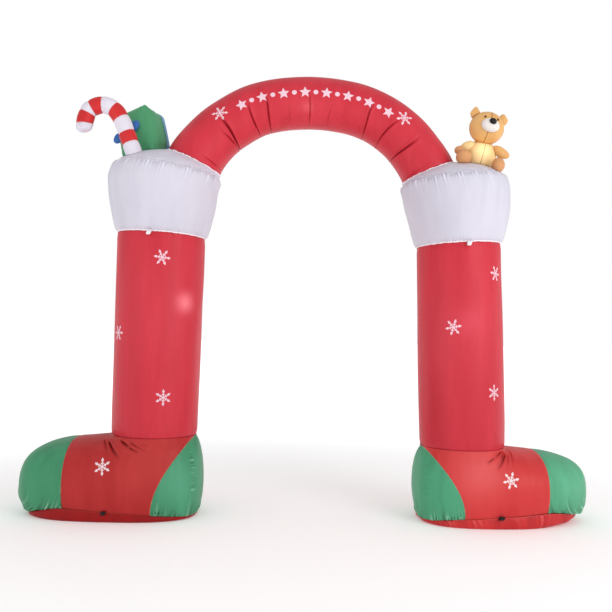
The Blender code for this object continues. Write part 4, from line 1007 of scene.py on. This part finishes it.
caneForm = {
    "points": ((-1.190, 2.040), (-1.203, 2.081), (-1.188, 2.139), (-1.164, 2.166), (-1.109, 2.185),
               (-1.050, 2.164), (-1.010, 2.113), (-0.978, 2.039), (-0.956, 1.982), (-0.936, 1.930)),
    "y": -0.135, "radius": 0.045, "waist": 0.93, "tip": 0.16, "sink": 0.7, "around": 60, "steps": 30, "wrinkle": 0.0016,
}


def surfaceTree(name):
    mesh = bpy.data.objects[name].data
    corners = [tuple(vertex.co) for vertex in mesh.vertices]
    return BVHTree.FromPolygons(corners, [tuple(face.vertices) for face in mesh.polygons])


def standOn(thing, clearance):
    # Lifts whatever would dip into the left cuff's top panel
    tree = surfaceTree("cuff_top_left_cloth")
    for vertex in thing.data.vertices:
        hit = tree.ray_cast((vertex.co.x, vertex.co.y, 2.6), (0.0, 0.0, -1.0))[0]
        if hit is not None and vertex.co.z < hit.z + clearance:
            vertex.co.z = hit.z + clearance


def makeCane(k):
    count = len(caneForm["points"]) - 1
    points = np.array([(x, caneForm["y"], z) for x, z in caneForm["points"]])
    points[-1] += caneForm["sink"] * (points[-1] - points[-2])
    ways = np.concatenate([points[1:2] - points[0:1], 0.5 * (points[2:] - points[:-2]), points[-1:] - points[-2:-1]])
    share = easedEnds(caneForm["steps"])[:, None]
    where, heading = hermite(points[k], points[k + 1], ways[k], ways[k + 1], share)
    side = np.array([0.0, 1.0, 0.0])
    across = np.cross(heading, side)
    across /= np.linalg.norm(across, axis=1, keepdims=True)
    swell = mix(caneForm["waist"], 1.0, np.sin(np.pi * share) ** 0.5)
    if k == 0:
        swell = np.where(share < 0.5, mix(caneForm["tip"], 1.0, rounded(1.0 - share, 2.2)), swell)
    angle = turn * np.arange(caneForm["around"] + 1)[None, :] / caneForm["around"]
    radius = caneForm["radius"] * swell
    length = np.linalg.norm(points[k + 1] - points[k])
    fromSeam = np.minimum(share, 1.0 - share) * length
    folds = pleats(ringWave(angle, 14, 400 + k))
    radius = radius + caneForm["wrinkle"] * folds * near(fromSeam, 0.012) - 0.0015 * near(fromSeam, 0.003)
    where = where + heading * seamGap * (0.5 - share)
    grid = (where[:, None, :] + across[:, None, :] * (np.cos(angle) * radius)[..., None]
            + side * (np.sin(angle) * radius)[..., None])
    flat = np.stack([angle * 0.045 + 0.0 * share, share + 0.0 * angle], axis=-1)
    colour = "white" if k % 2 == 0 else "red"
    name = "cane_{}_{}".format(k + 1, colour)
    # Fold values for painted shade and painted highlight near the seams
    folds = 0.6 * folds * near(fromSeam, 0.012)
    piece = gridMesh(name + "_cloth", [(grid, flat, fromSeam + 0.0 * angle, folds)], capped=True)
    if k == count - 1:
        standOn(piece, 0.0016)
    slot = "white_nylon" if colour == "white" else "cane_red_nylon"
    place(piece, materials["canePale" if colour == "white" else "caneRed"], slot, name)


# Small stuffed pieces, puffed by a short cloth simulation

def copyNode(name, newName):
    thing = nodes[name].copy()
    thing.data = nodes[name].data.copy()
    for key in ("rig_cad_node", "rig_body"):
        if key in thing:
            del thing[key]
    thing.name = newName
    thing.parent = None
    thing.matrix_world = Matrix.Identity(4)
    bpy.context.scene.collection.objects.link(thing)
    return thing


def applyModifiers(thing):
    graph = bpy.context.evaluated_depsgraph_get()
    mesh = bpy.data.meshes.new_from_object(thing.evaluated_get(graph))
    thing.modifiers.clear()
    thing.data = mesh


def meshPoints(thing):
    data = np.zeros(len(thing.data.vertices) * 3, np.float32)
    thing.data.vertices.foreach_get("co", data)
    return data.reshape(-1, 3).astype(float)


def setPoints(thing, data):
    thing.data.vertices.foreach_set("co", data.astype(np.float32).ravel())
    thing.data.update()


clothRun = {"start": 0.985, "pressure": 4.0, "quality": 4, "mass": 0.2, "frames": 20, "smooth": 4}


def puff(name, newName, voxel, cap):
    # A remeshed copy of a CAD node, blown up a little as cloth and kept near its solid
    thing = copyNode(name, newName)
    shape = bmesh.new()
    shape.from_mesh(thing.data)
    bmesh.ops.remove_doubles(shape, verts=shape.verts, dist=1e-5)
    shape.to_mesh(thing.data)
    shape.free()
    remesh = thing.modifiers.new("remesh", "REMESH")
    remesh.mode = "VOXEL"
    remesh.voxel_size = voxel
    soften = thing.modifiers.new("soften", "SMOOTH")
    soften.factor = 0.5
    soften.iterations = clothRun["smooth"]
    applyModifiers(thing)
    rest = meshPoints(thing)
    middle = rest.mean(axis=0)
    setPoints(thing, middle + (rest - middle) * clothRun["start"])
    cloth = thing.modifiers.new("cloth", "CLOTH")
    cloth.settings.use_pressure = True
    cloth.settings.uniform_pressure_force = clothRun["pressure"]
    cloth.settings.effector_weights.gravity = 0.0
    cloth.settings.quality = clothRun["quality"]
    cloth.settings.mass = clothRun["mass"]
    scene = bpy.context.scene
    for step in range(1, clothRun["frames"] + 1):
        scene.frame_set(step)
    applyModifiers(thing)
    scene.frame_set(1)
    moved = meshPoints(thing) - rest
    size = np.linalg.norm(moved, axis=1, keepdims=True)
    setPoints(thing, rest + moved * np.minimum(1.0, cap / np.maximum(size, 1e-9)))
    divide = thing.modifiers.new("divide", "SUBSURF")
    divide.levels = divide.render_levels = 1
    applyModifiers(thing)
    thing.data.shade_smooth()
    return thing


# Stuffed pieces: voxel and cap in metres, look and slot
stuffed = {
    "gift_box": (0.0078, 0.006, "boxGreen", "box_green_nylon"),
    "gift_bow_left": (0.0038, 0.003, "bowBlue", "bow_blue_nylon"),
    "gift_bow_right": (0.0038, 0.003, "bowBlue", "bow_blue_nylon"),
    "gift_bow_knot": (0.0031, 0.002, "bowBlue", "bow_blue_nylon"),
    "bear_head": (0.0050, 0.004, "bearTan", "bear_tan_nylon"),
    "bear_back": (0.0050, 0.004, "bearTan", "bear_tan_nylon"),
    "bear_belly": (0.0050, 0.004, "bellyYellow", "belly_yellow_nylon"),
    "bear_arm_left": (0.0038, 0.003, "bellyYellow", "belly_yellow_nylon"),
    "bear_hand_left": (0.0038, 0.003, "bearPaw", "bear_tan_nylon"),
    "bear_arm_right": (0.0038, 0.003, "bearTan", "bear_tan_nylon"),
    "bear_foot_left": (0.0038, 0.003, "bearPaw", "bear_tan_nylon"),
    "bear_foot_right": (0.0038, 0.003, "bearPaw", "bear_tan_nylon"),
    "bear_ear_left": (0.0031, 0.002, "bearTan", "bear_tan_nylon"),
    "bear_ear_right": (0.0031, 0.002, "bearTan", "bear_tan_nylon"),
    "bear_muzzle": (0.0038, 0.002, "muzzleWhite", "muzzle_white_nylon"),
    "bear_nose": (0.0018, 0.001, "noseBlack", "black_webbing"),
    "bear_eye_left": (0.0010, 0.0005, "eyeBrown", "black_webbing"),
    "bear_eye_right": (0.0010, 0.0005, "eyeBrown", "black_webbing"),
}


# Looks

looks = {
    "crimson": {"colour": (0.60, 0.032, 0.052), "shade": (0.53, 0.024, 0.040), "edge": (0.42, 0.015, 0.03),
                "valleyShade": 0.60, "ridge": 0.03},
    # The left vamp's scarlet is a darker copy and the right's a lighter copy of one nylon: painted shade on the left
    # boot and painted light on the right
    "scarletLeft": {"colour": (0.47, 0.026, 0.026), "shade": (0.41, 0.017, 0.018), "edge": (0.56, 0.12, 0.07),
                    "valleyShade": 0.52, "ridge": 0.04, "edgeWidth": 0.003, "ink": (0.84, 0.68, 0.70)},
    "scarletRight": {"colour": (0.64, 0.044, 0.045), "shade": (0.58, 0.032, 0.034), "edge": (0.70, 0.16, 0.11),
                     "valleyShade": 0.52, "ridge": 0.05, "edgeWidth": 0.003, "ink": (0.86, 0.74, 0.76)},
    # The left sole is a darker copy of the right sole's nylon: painted shade, as the left boot faces away from the key
    # light
    "soleLeft": {"colour": (0.36, 0.004, 0.005), "shade": (0.29, 0.003, 0.004), "edge": (0.46, 0.03, 0.03)},
    "soleRight": {"colour": (0.62, 0.036, 0.038), "shade": (0.50, 0.018, 0.022), "edge": (0.66, 0.06, 0.06),
                  "valleyShade": 0.46, "ridge": 0.07},
    "green": {"colour": (0.056, 0.290, 0.145), "shade": (0.044, 0.235, 0.112), "edge": (0.20, 0.36, 0.20),
              "edgeWidth": 0.003, "valleyShade": 0.34, "ridge": 0.17},
    # The right boot's green is a lighter copy of the same nylon: painted light, as the right boot faces the key light
    "greenRight": {"colour": (0.076, 0.370, 0.200), "shade": (0.058, 0.295, 0.152), "edge": (0.24, 0.44, 0.26),
                   "edgeWidth": 0.003, "valleyShade": 0.34, "ridge": 0.18},
    "cuffWhite": {"colour": (0.640, 0.618, 0.705), "shade": (0.585, 0.565, 0.655), "edge": (0.90, 0.82, 0.87),
                  "edgeWidth": 0.005, "valleyShade": 0.74, "ridge": 0.13},
    "canePale": {"colour": (0.74, 0.70, 0.78), "shade": (0.68, 0.64, 0.73), "edge": (0.78, 0.55, 0.62),
                 "edgeWidth": 0.002},
    "caneRed": {"colour": (0.62, 0.026, 0.028), "shade": (0.52, 0.018, 0.020), "edge": (0.70, 0.20, 0.20),
                "edgeWidth": 0.002},
    "boxGreen": {"colour": (0.080, 0.340, 0.160), "shade": (0.060, 0.275, 0.125), "edge": (0.13, 0.42, 0.22)},
    "ribbonBlue": {"colour": (0.13, 0.36, 0.56), "shade": (0.10, 0.29, 0.48), "edge": (0.22, 0.46, 0.64)},
    "bowBlue": {"colour": (0.044, 0.160, 0.460), "shade": (0.030, 0.120, 0.370), "edge": (0.05, 0.18, 0.5)},
    "bearTan": {"colour": (0.80, 0.470, 0.180), "shade": (0.68, 0.360, 0.125), "edge": (0.30, 0.105, 0.020),
                "edgeWidth": 0.003},
    "bearPaw": {"colour": (0.68, 0.340, 0.150), "shade": (0.60, 0.275, 0.115), "edge": (0.30, 0.100, 0.025),
                "edgeWidth": 0.003},
    "bellyYellow": {"colour": (0.86, 0.610, 0.290), "shade": (0.80, 0.545, 0.240), "edge": (0.30, 0.140, 0.030),
                    "edgeWidth": 0.003},
    "muzzleWhite": {"colour": (0.80, 0.76, 0.72), "shade": (0.74, 0.70, 0.66), "edge": (0.7, 0.68, 0.66)},
    "noseBlack": {"colour": (0.010, 0.009, 0.010), "shade": (0.007, 0.006, 0.007), "edge": (0.01, 0.01, 0.01)},
    "eyeBrown": {"colour": (0.030, 0.014, 0.010), "shade": (0.020, 0.010, 0.006), "edge": (0.02, 0.01, 0.01)},
    "webWhite": {"colour": (0.84, 0.82, 0.84), "shade": (0.76, 0.74, 0.78), "edge": (0.8, 0.8, 0.8)},
    "webBlack": {"colour": (0.014, 0.013, 0.014), "shade": (0.010, 0.010, 0.010), "edge": (0.01, 0.01, 0.01)},
}


def legFlake(boot, x, z, size=0.043, turned=0.0):
    # Where a flake seen on a leg lies on its flat cloth
    share = (z - boot.ankleZ) / (boot.legTopZ - boot.ankleZ)
    radius = mix(boot.ankleRadius, boot.legTopRadius, share) + 0.003
    offset = (x - mix(boot.ankleX, boot.legTopX, share)) / radius
    return (radius * math.asin(max(-1.0, min(1.0, offset))), z, size, turned)


rowStart, rowEnd = archPlace(*archForm["rowFrom"])[0], archPlace(*archForm["rowTo"])[0]
archFlakes = [(*archPlace(-0.482, 2.151), 0.043, 0.6), (*archPlace(0.504, 2.145), 0.043, 0.2)]
markRow = {"StartU": rowStart, "Steps": archForm["marks"] - 0.5, "CentreV": archForm["rowLift"],
           "Pitch": (rowEnd - rowStart) / (archForm["marks"] - 1), "Size": archForm["markSize"]}
pink = (0.30, 0.14, 0.15)
leftLeg, rightLeg = boots["left"], boots["right"]

# Prints, lamps and painted light: material, look, flakes, row, and glow spots as place, reach and colour
dressed = {
    "archCrimson": ("crimson", archFlakes, markRow, [((-0.018, -0.165, 2.180), 0.09, pink),
                                                     ((-0.018, -0.160, 2.160), 0.34, (0.035, 0.012, 0.014))]),
    "legLeftCrimson": ("crimson", [legFlake(leftLeg, -0.753, 1.367, turned=0.12), legFlake(leftLeg, -0.989, 0.971),
                                   legFlake(leftLeg, -0.732, 0.640, turned=0.52)], None,
                       [((-0.632, -0.17, 1.135), 0.14, (0.36, 0.17, 0.19)),
                        ((-0.700, -0.17, 1.080), 0.75, (0.050, 0.012, 0.016))]),
    "legRightCrimson": ("crimson", [legFlake(rightLeg, 0.992, 1.320, turned=0.10),
                                    legFlake(rightLeg, 0.764, 1.033, turned=-0.20),
                                    legFlake(rightLeg, 0.989, 0.696, turned=0.52)], None,
                        [((0.850, -0.24, 1.060), 0.22, (0.08, 0.02, 0.03)),
                         ((0.760, -0.20, 1.000), 0.80, (0.070, 0.016, 0.020))]),
    # The glows on the two vamps are painted light: a brighter patch on the front of each, with no lamp behind it
    "vampLeftScarlet": ("scarletLeft", [(-1.029, 0.285, 0.043, 0.44)], None,
                        [((-0.800, -0.28, 0.300), 0.46, (0.075, 0.018, 0.014))]),
    "vampRightScarlet": ("scarletRight", [(1.064, 0.253, 0.043, -0.20)], None,
                         [((0.900, -0.28, 0.300), 0.36, (0.110, 0.060, 0.060))]),
    # The glows on the left heel and the right toe are painted light on the sides facing the key light, with no lamp
    # behind them
    "greenToeLeft": ("green", [], None, []),
    "greenHeelLeft": ("green", [], None, [((-0.630, -0.22, 0.200), 0.42, (0.040, 0.110, 0.085))]),
    "greenHeelRight": ("greenRight", [], None, []),
    "greenToeRight": ("greenRight", [], None, [((1.400, -0.16, 0.230), 0.42, (0.050, 0.100, 0.075))]),
    "bearTan": ("bearTan", [], None, [((0.930, -0.06, 2.020), 0.20, (0.16, 0.06, 0.01))]),
    "bellyYellow": ("bellyYellow", [], None, [((0.930, -0.13, 1.985), 0.14, (0.55, 0.42, 0.22))]),
}
materials = {}
for name, (look, flakes, row, glowSpots) in dressed.items():
    placed = [(spot(*where), reach, light) for where, reach, light in glowSpots]
    materials[name] = clothMaterial(name, looks[look], flakes, row, placed)
for key in ("soleLeft", "soleRight", "cuffWhite", "canePale", "caneRed", "boxGreen", "ribbonBlue", "bowBlue",
            "bearPaw", "muzzleWhite", "noseBlack", "eyeBrown", "webWhite", "webBlack"):
    materials[key] = clothMaterial(key, looks[key])
print("stage: materials made")

for boot, cuff in zip(boots.values(), cuffs.values()):
    side = boot.side
    word = side.capitalize()
    place(panelMesh("vamp_" + side + "_cloth", boot, *vampGrid(boot), "vamp"),
          materials["vamp" + word + "Scarlet"], "scarlet_nylon", "vamp_" + side)
    place(panelMesh("toe_" + side + "_cloth", boot, *toeGrid(boot), "toe"), materials["greenToe" + word],
          "green_nylon", "toe_" + side)
    place(panelMesh("heel_" + side + "_cloth", boot, *heelGrid(boot), "heel"), materials["greenHeel" + word],
          "green_nylon", "heel_" + side)
    place(makeSole(boot), materials["sole" + word], "dark_red_nylon", "sole_" + side)
    place(makeLeg(boot), materials["leg" + word + "Crimson"], "crimson_nylon", "leg_" + side)
    place(makeCuffBand(boot, cuff), materials["cuffWhite"], "white_nylon", "cuff_band_" + side)
    place(makeCuffTop(cuff), materials["cuffWhite"], "white_nylon", "cuff_top_" + side)
print("stage: boots and cuffs made")

place(makeArch(), materials["archCrimson"], "crimson_nylon", "arch_tube")
for k in range(len(caneForm["points"]) - 1):
    makeCane(k)
print("stage: arch and cane made")


def tilted(degrees):
    lean = math.radians(degrees)
    return (math.cos(lean), 0.0, -math.sin(lean))


# Seams of the stuffed pieces, each as a point and the direction across it
stuffedSeams = {
    "bear_belly": (((0.930, -0.045, 1.965), tilted(14)), ((0.0, -0.070, 0.0), (0.0, 1.0, 0.0))),
    "bear_back": (((0.930, -0.045, 1.965), tilted(14)), ((0.0, -0.070, 0.0), (0.0, 1.0, 0.0))),
    "bear_head": (((0.955, -0.080, 2.113), tilted(14)), ((0.0, -0.085, 0.0), (0.0, 1.0, 0.0))),
    "bear_arm_left": (((0.0, -0.085, 0.0), (0.0, 1.0, 0.0)),),
    "bear_hand_left": (((0.0, -0.105, 0.0), (0.0, 1.0, 0.0)),),
    "bear_arm_right": (((0.0, -0.080, 0.0), (0.0, 1.0, 0.0)),),
    "bear_foot_left": (((0.0, -0.140, 0.0), (0.0, 1.0, 0.0)),),
    "bear_foot_right": (((0.0, -0.150, 0.0), (0.0, 1.0, 0.0)),),
    "bear_ear_left": (((0.0, -0.062, 0.0), (0.0, 1.0, 0.0)),),
    "bear_ear_right": (((0.0, -0.060, 0.0), (0.0, 1.0, 0.0)),),
}
boxForm = {"side": 0.205, "height": 0.300, "centre": (-0.929, 0.085, 2.051), "yaw": -20, "back": -13, "left": -14,
           "bulge": 0.016}


def boxMatrix():
    turns = [Matrix.Rotation(math.radians(boxForm[key]), 4, axis)
             for key, axis in (("left", "Y"), ("back", "X"), ("yaw", "Z"))]
    return Matrix.Translation(spot(*boxForm["centre"])) @ turns[0] @ turns[1] @ turns[2]


def reshape(node, where):
    # Small moves the stuffed pieces need before they are dressed: where each one leans, narrows or flattens
    middle = where.mean(axis=0)
    offset = where - middle
    if node in ("bear_ear_left", "bear_ear_right"):
        # The cloth runs out to a soft point
        height = np.clip(offset[:, 2] / 0.032, 0.0, 1.0)
        lean = 0.010 if node == "bear_ear_left" else 0.002
        offset[:, 0] = offset[:, 0] * (1.0 - 0.42 * height) + lean * height ** 2
        offset[:, 2] += 0.009 * height ** 2
    if node == "bear_nose":
        offset *= np.array([1.14, 1.0, 1.26])
        offset[:, 1] -= 0.0012
    if node in ("bear_eye_left", "bear_eye_right"):
        offset *= np.array([1.35, 1.0, 1.35])
        offset[:, 1] -= 0.0008
    if node == "bear_arm_right":
        # Narrows towards the paw
        reach = np.clip(offset[:, 0] / 0.05, 0.0, 1.0)
        offset[:, 2] *= 1.0 - 0.22 * reach
        offset[:, 1] *= 1.0 - 0.16 * reach
    if node == "gift_bow_right":
        offset += np.array([-0.004, 0.0, -0.012])
    return middle + offset


def seamGaps(node, where):
    if node == "gift_box":
        inner = np.array(boxMatrix().inverted())
        local = np.abs(where @ inner[:3, :3].T + inner[:3, 3])
        half = np.array([boxForm["side"], boxForm["side"], boxForm["height"]]) / 2
        return np.sort(half + 0.002 - local, axis=1)[:, 1]
    gaps = [np.abs((where + centreShift - np.array(point)) @ np.array(way))
            for point, way in stuffedSeams.get(node, ())]
    return np.minimum.reduce(gaps) if gaps else np.ones(len(where))


for node, (voxel, cap, look, slot) in stuffed.items():
    piece = puff(node, node + "_cloth", voxel, cap)
    setPoints(piece, reshape(node, meshPoints(piece)))
    paint(piece.data, "seamDistance", seamGaps(node, meshPoints(piece)))
    place(piece, materials[look], slot, node)
print("stage: stuffed pieces made")

ribbonForm = {"width": 0.043, "across": 0.48, "from": -0.60, "to": 0.96, "standOff": 0.0016, "thick": 0.0012,
              "ripple": 0.0006}


def boxFace(across, up):
    # How far the box's right face stands out, place by place
    tree, matrix = surfaceTree("gift_box_cloth"), boxMatrix()
    half, away = boxForm["side"] / 2, 0.08
    way = matrix.to_3x3() @ Vector((-1.0, 0.0, 0.0))
    out = half + boxForm["bulge"] * (1.0 - across ** 2) * (1.0 - up ** 2)
    for row, column in np.ndindex(out.shape):
        local = Vector((half + away, across[0, column] * half, up[row, 0] * boxForm["height"] / 2))
        hit, _, _, distance = tree.ray_cast(matrix @ local, way)
        if hit is not None:
            out[row, column] = half + away - distance
    return out


def makeRibbon():
    # A strip down the box's right face, on the face's own curve
    half = np.array([boxForm["side"], boxForm["side"], boxForm["height"]]) / 2
    up = np.linspace(ribbonForm["from"], ribbonForm["to"], 90)[:, None]
    side = np.linspace(-1.0, 1.0, 15)[None, :]
    across = ribbonForm["across"] + side * ribbonForm["width"] / boxForm["side"]
    matrix = np.array(boxMatrix())
    face = boxFace(across, up)
    sheets = []
    for lift in (0.0, ribbonForm["thick"]):
        out = face + ribbonForm["standOff"] + lift
        out = out + ribbonForm["ripple"] * (1.0 - side ** 2) * (1.0 + np.sin(22.0 * up + 2.0 * side))
        local = np.stack([out, across * half[1] + 0.0 * up, up * half[2] + 0.0 * across], axis=-1)
        sheets.append(local @ matrix[:3, :3].T + matrix[:3, 3] + centreShift)
    seam = ribbonForm["width"] / 2 * (1.0 - np.abs(side)) + 0.0 * up
    grids = [(sheet, plainCloth, seam, 0.0) for sheet in sheets]
    for edge in gridEdges:
        grids.append((np.stack([sheets[0][edge], sheets[1][edge]], axis=1), plainCloth, 0.0, 0.0))
    return gridMesh("gift_ribbon_cloth", grids)


# Loops of strap: place, width, half sizes of the loop
straps = {
    "tether_loop_left": ((-0.822, -0.2535, 1.4930), 0.022, (0.0105, 0.0105), "webWhite", "white_webbing"),
    "tether_loop_right": ((0.837, -0.2430, 1.4695), 0.020, (0.0105, 0.0115), "webWhite", "white_webbing"),
    "peg_loop_left": ((-1.018, -0.2598, 0.0500), 0.022, (0.0082, 0.0082), "webBlack", "black_webbing"),
    "peg_loop_right": ((1.017, -0.2528, 0.0600), 0.025, (0.0082, 0.0082), "webBlack", "black_webbing"),
}


def makeStrap(name):
    (x, y, z), width, (halfY, halfZ), look, slot = straps[name]
    angle = np.linspace(0.0, turn, 49)[None, :]
    side = np.linspace(-0.5, 0.5, 13)[:, None]
    sheets = []
    for inset in (0.00075, -0.00075):
        # The strap twists a little and its edges roll in
        roll = 0.0006 * (2.0 * np.abs(side)) ** 4
        alongY = (halfY - inset - roll) * np.cos(angle)
        alongZ = (halfZ - inset - roll) * np.sin(angle)
        slant = -0.16 * width * np.sin(angle)
        px = x + side * width * (1.0 + 0.12 * np.sin(angle)) - slant
        py = y + alongY + 0.0 * side
        pz = z + alongZ + 0.25 * alongY + 0.0 * side
        sheets.append(np.stack([px, py, pz], axis=-1))
    stitched = width * (0.5 - np.abs(side)) + 0.0 * angle
    flat = np.stack([side * width + 0.0 * angle, angle * halfY + 0.0 * side], axis=-1)
    grids = [(sheet, flat, stitched, 0.0) for sheet in sheets]
    for edge in (0, -1):
        grids.append((np.stack([sheets[0][edge], sheets[1][edge]], axis=0), plainCloth, 0.0, 0.0))
    place(gridMesh(name + "_cloth", grids), materials[look], slot, name, fill=None)


place(makeRibbon(), materials["ribbonBlue"], "ribbon_blue_nylon", "gift_ribbon", fill=None)
for name in straps:
    makeStrap(name)
print("stage: ribbon and straps made")


# Studio

studio = {
    "floorColour": (0.965, 0.965, 0.965), "floorSize": 60.0, "worldLight": 0.72,
    # The floor gives a little light of its own, more of it further out, so it runs into the white behind
    "floorLight": (0.17, 0.62), "floorFade": (1.3, 6.0),
    "lights": (
        # name, place, aim, size, watts
        ("key", (4.4, -4.8, 3.0), (0.2, 0.0, 1.1), 4.0, 124.0),
        ("fill", (-4.6, -4.6, 2.2), (-0.3, 0.0, 1.1), 4.0, 20.0),
    ),
}


def makeFloorMaterial():
    material = bpy.data.materials.new("paleFloor")
    material.use_nodes = True
    tree = material.node_tree
    shader = tree.nodes["Principled BSDF"]
    shader.inputs["Base Color"].default_value = opaque(studio["floorColour"])
    shader.inputs["Roughness"].default_value = 0.9
    shader.inputs["Specular IOR Level"].default_value = 0.1
    out = tree.nodes.new("ShaderNodeVectorMath")
    out.operation = "LENGTH"
    tree.links.new(tree.nodes.new("ShaderNodeTexCoord").outputs["Object"], out.inputs[0])
    share = ramp(tree, out.outputs["Value"], *studio["floorFade"])
    low, high = studio["floorLight"]
    tree.links.new(colourMix(tree, share, opaque((low,) * 3), opaque((high,) * 3)), shader.inputs["Emission Color"])
    shader.inputs["Emission Strength"].default_value = 1.0
    return material


def makeWorld():
    # White to the eye, softer as a light
    world = bpy.data.worlds.new("paleSky")
    world.use_nodes = True
    tree = world.node_tree
    seen, light = tree.nodes["Background"], tree.nodes.new("ShaderNodeBackground")
    for background, strength in ((seen, 1.0), (light, studio["worldLight"])):
        background.inputs["Color"].default_value = (1.0, 1.0, 1.0, 1.0)
        background.inputs["Strength"].default_value = strength
    both = tree.nodes.new("ShaderNodeMixShader")
    tree.links.new(tree.nodes.new("ShaderNodeLightPath").outputs["Is Camera Ray"], both.inputs[0])
    tree.links.new(light.outputs[0], both.inputs[1])
    tree.links.new(seen.outputs[0], both.inputs[2])
    tree.links.new(both.outputs[0], tree.nodes["World Output"].inputs["Surface"])
    bpy.context.scene.world = world


def makeStudio():
    size = studio["floorSize"]
    mesh = bpy.data.meshes.new("floor")
    mesh.from_pydata([(-size, -size, -0.0005), (size, -size, -0.0005), (size, size, -0.0005), (-size, size, -0.0005)],
                     [], [(0, 1, 2, 3)])
    floor = bpy.data.objects.new("floor", mesh)
    bpy.context.scene.collection.objects.link(floor)
    mesh.materials.append(makeFloorMaterial())
    makeWorld()
    for name, where, aim, width, watts in studio["lights"]:
        light = bpy.data.lights.new(name, "AREA")
        light.shape = "DISK"
        light.size = width
        light.energy = watts
        lamp = bpy.data.objects.new(name, light)
        lamp.location = where
        lamp.rotation_euler = (Vector(aim) - Vector(where)).to_track_quat("-Z", "Y").to_euler()
        bpy.context.scene.collection.objects.link(lamp)
    bpy.context.scene.view_settings.view_transform = "Standard"


camera = {"place": (-0.003, -4.24, 1.004), "focus": 775.0, "width": 612.0, "lift": 24.0, "roll": math.radians(1.1)}


def makeCamera():
    lens = bpy.data.cameras.new("camera")
    lens.sensor_width = 36.0
    lens.lens = 36.0 * camera["focus"] / camera["width"]
    eye = bpy.data.objects.new("camera", lens)
    pitch = math.atan(camera["lift"] / camera["focus"])
    turned = Matrix.Rotation(math.pi / 2 + pitch, 4, "X") @ Matrix.Rotation(camera["roll"], 4, "Z")
    eye.matrix_world = Matrix.Translation(spot(*camera["place"])) @ turned
    bpy.context.scene.collection.objects.link(eye)
    bpy.context.scene.camera = eye


makeStudio()
makeCamera()
print("stage: studio and camera set")
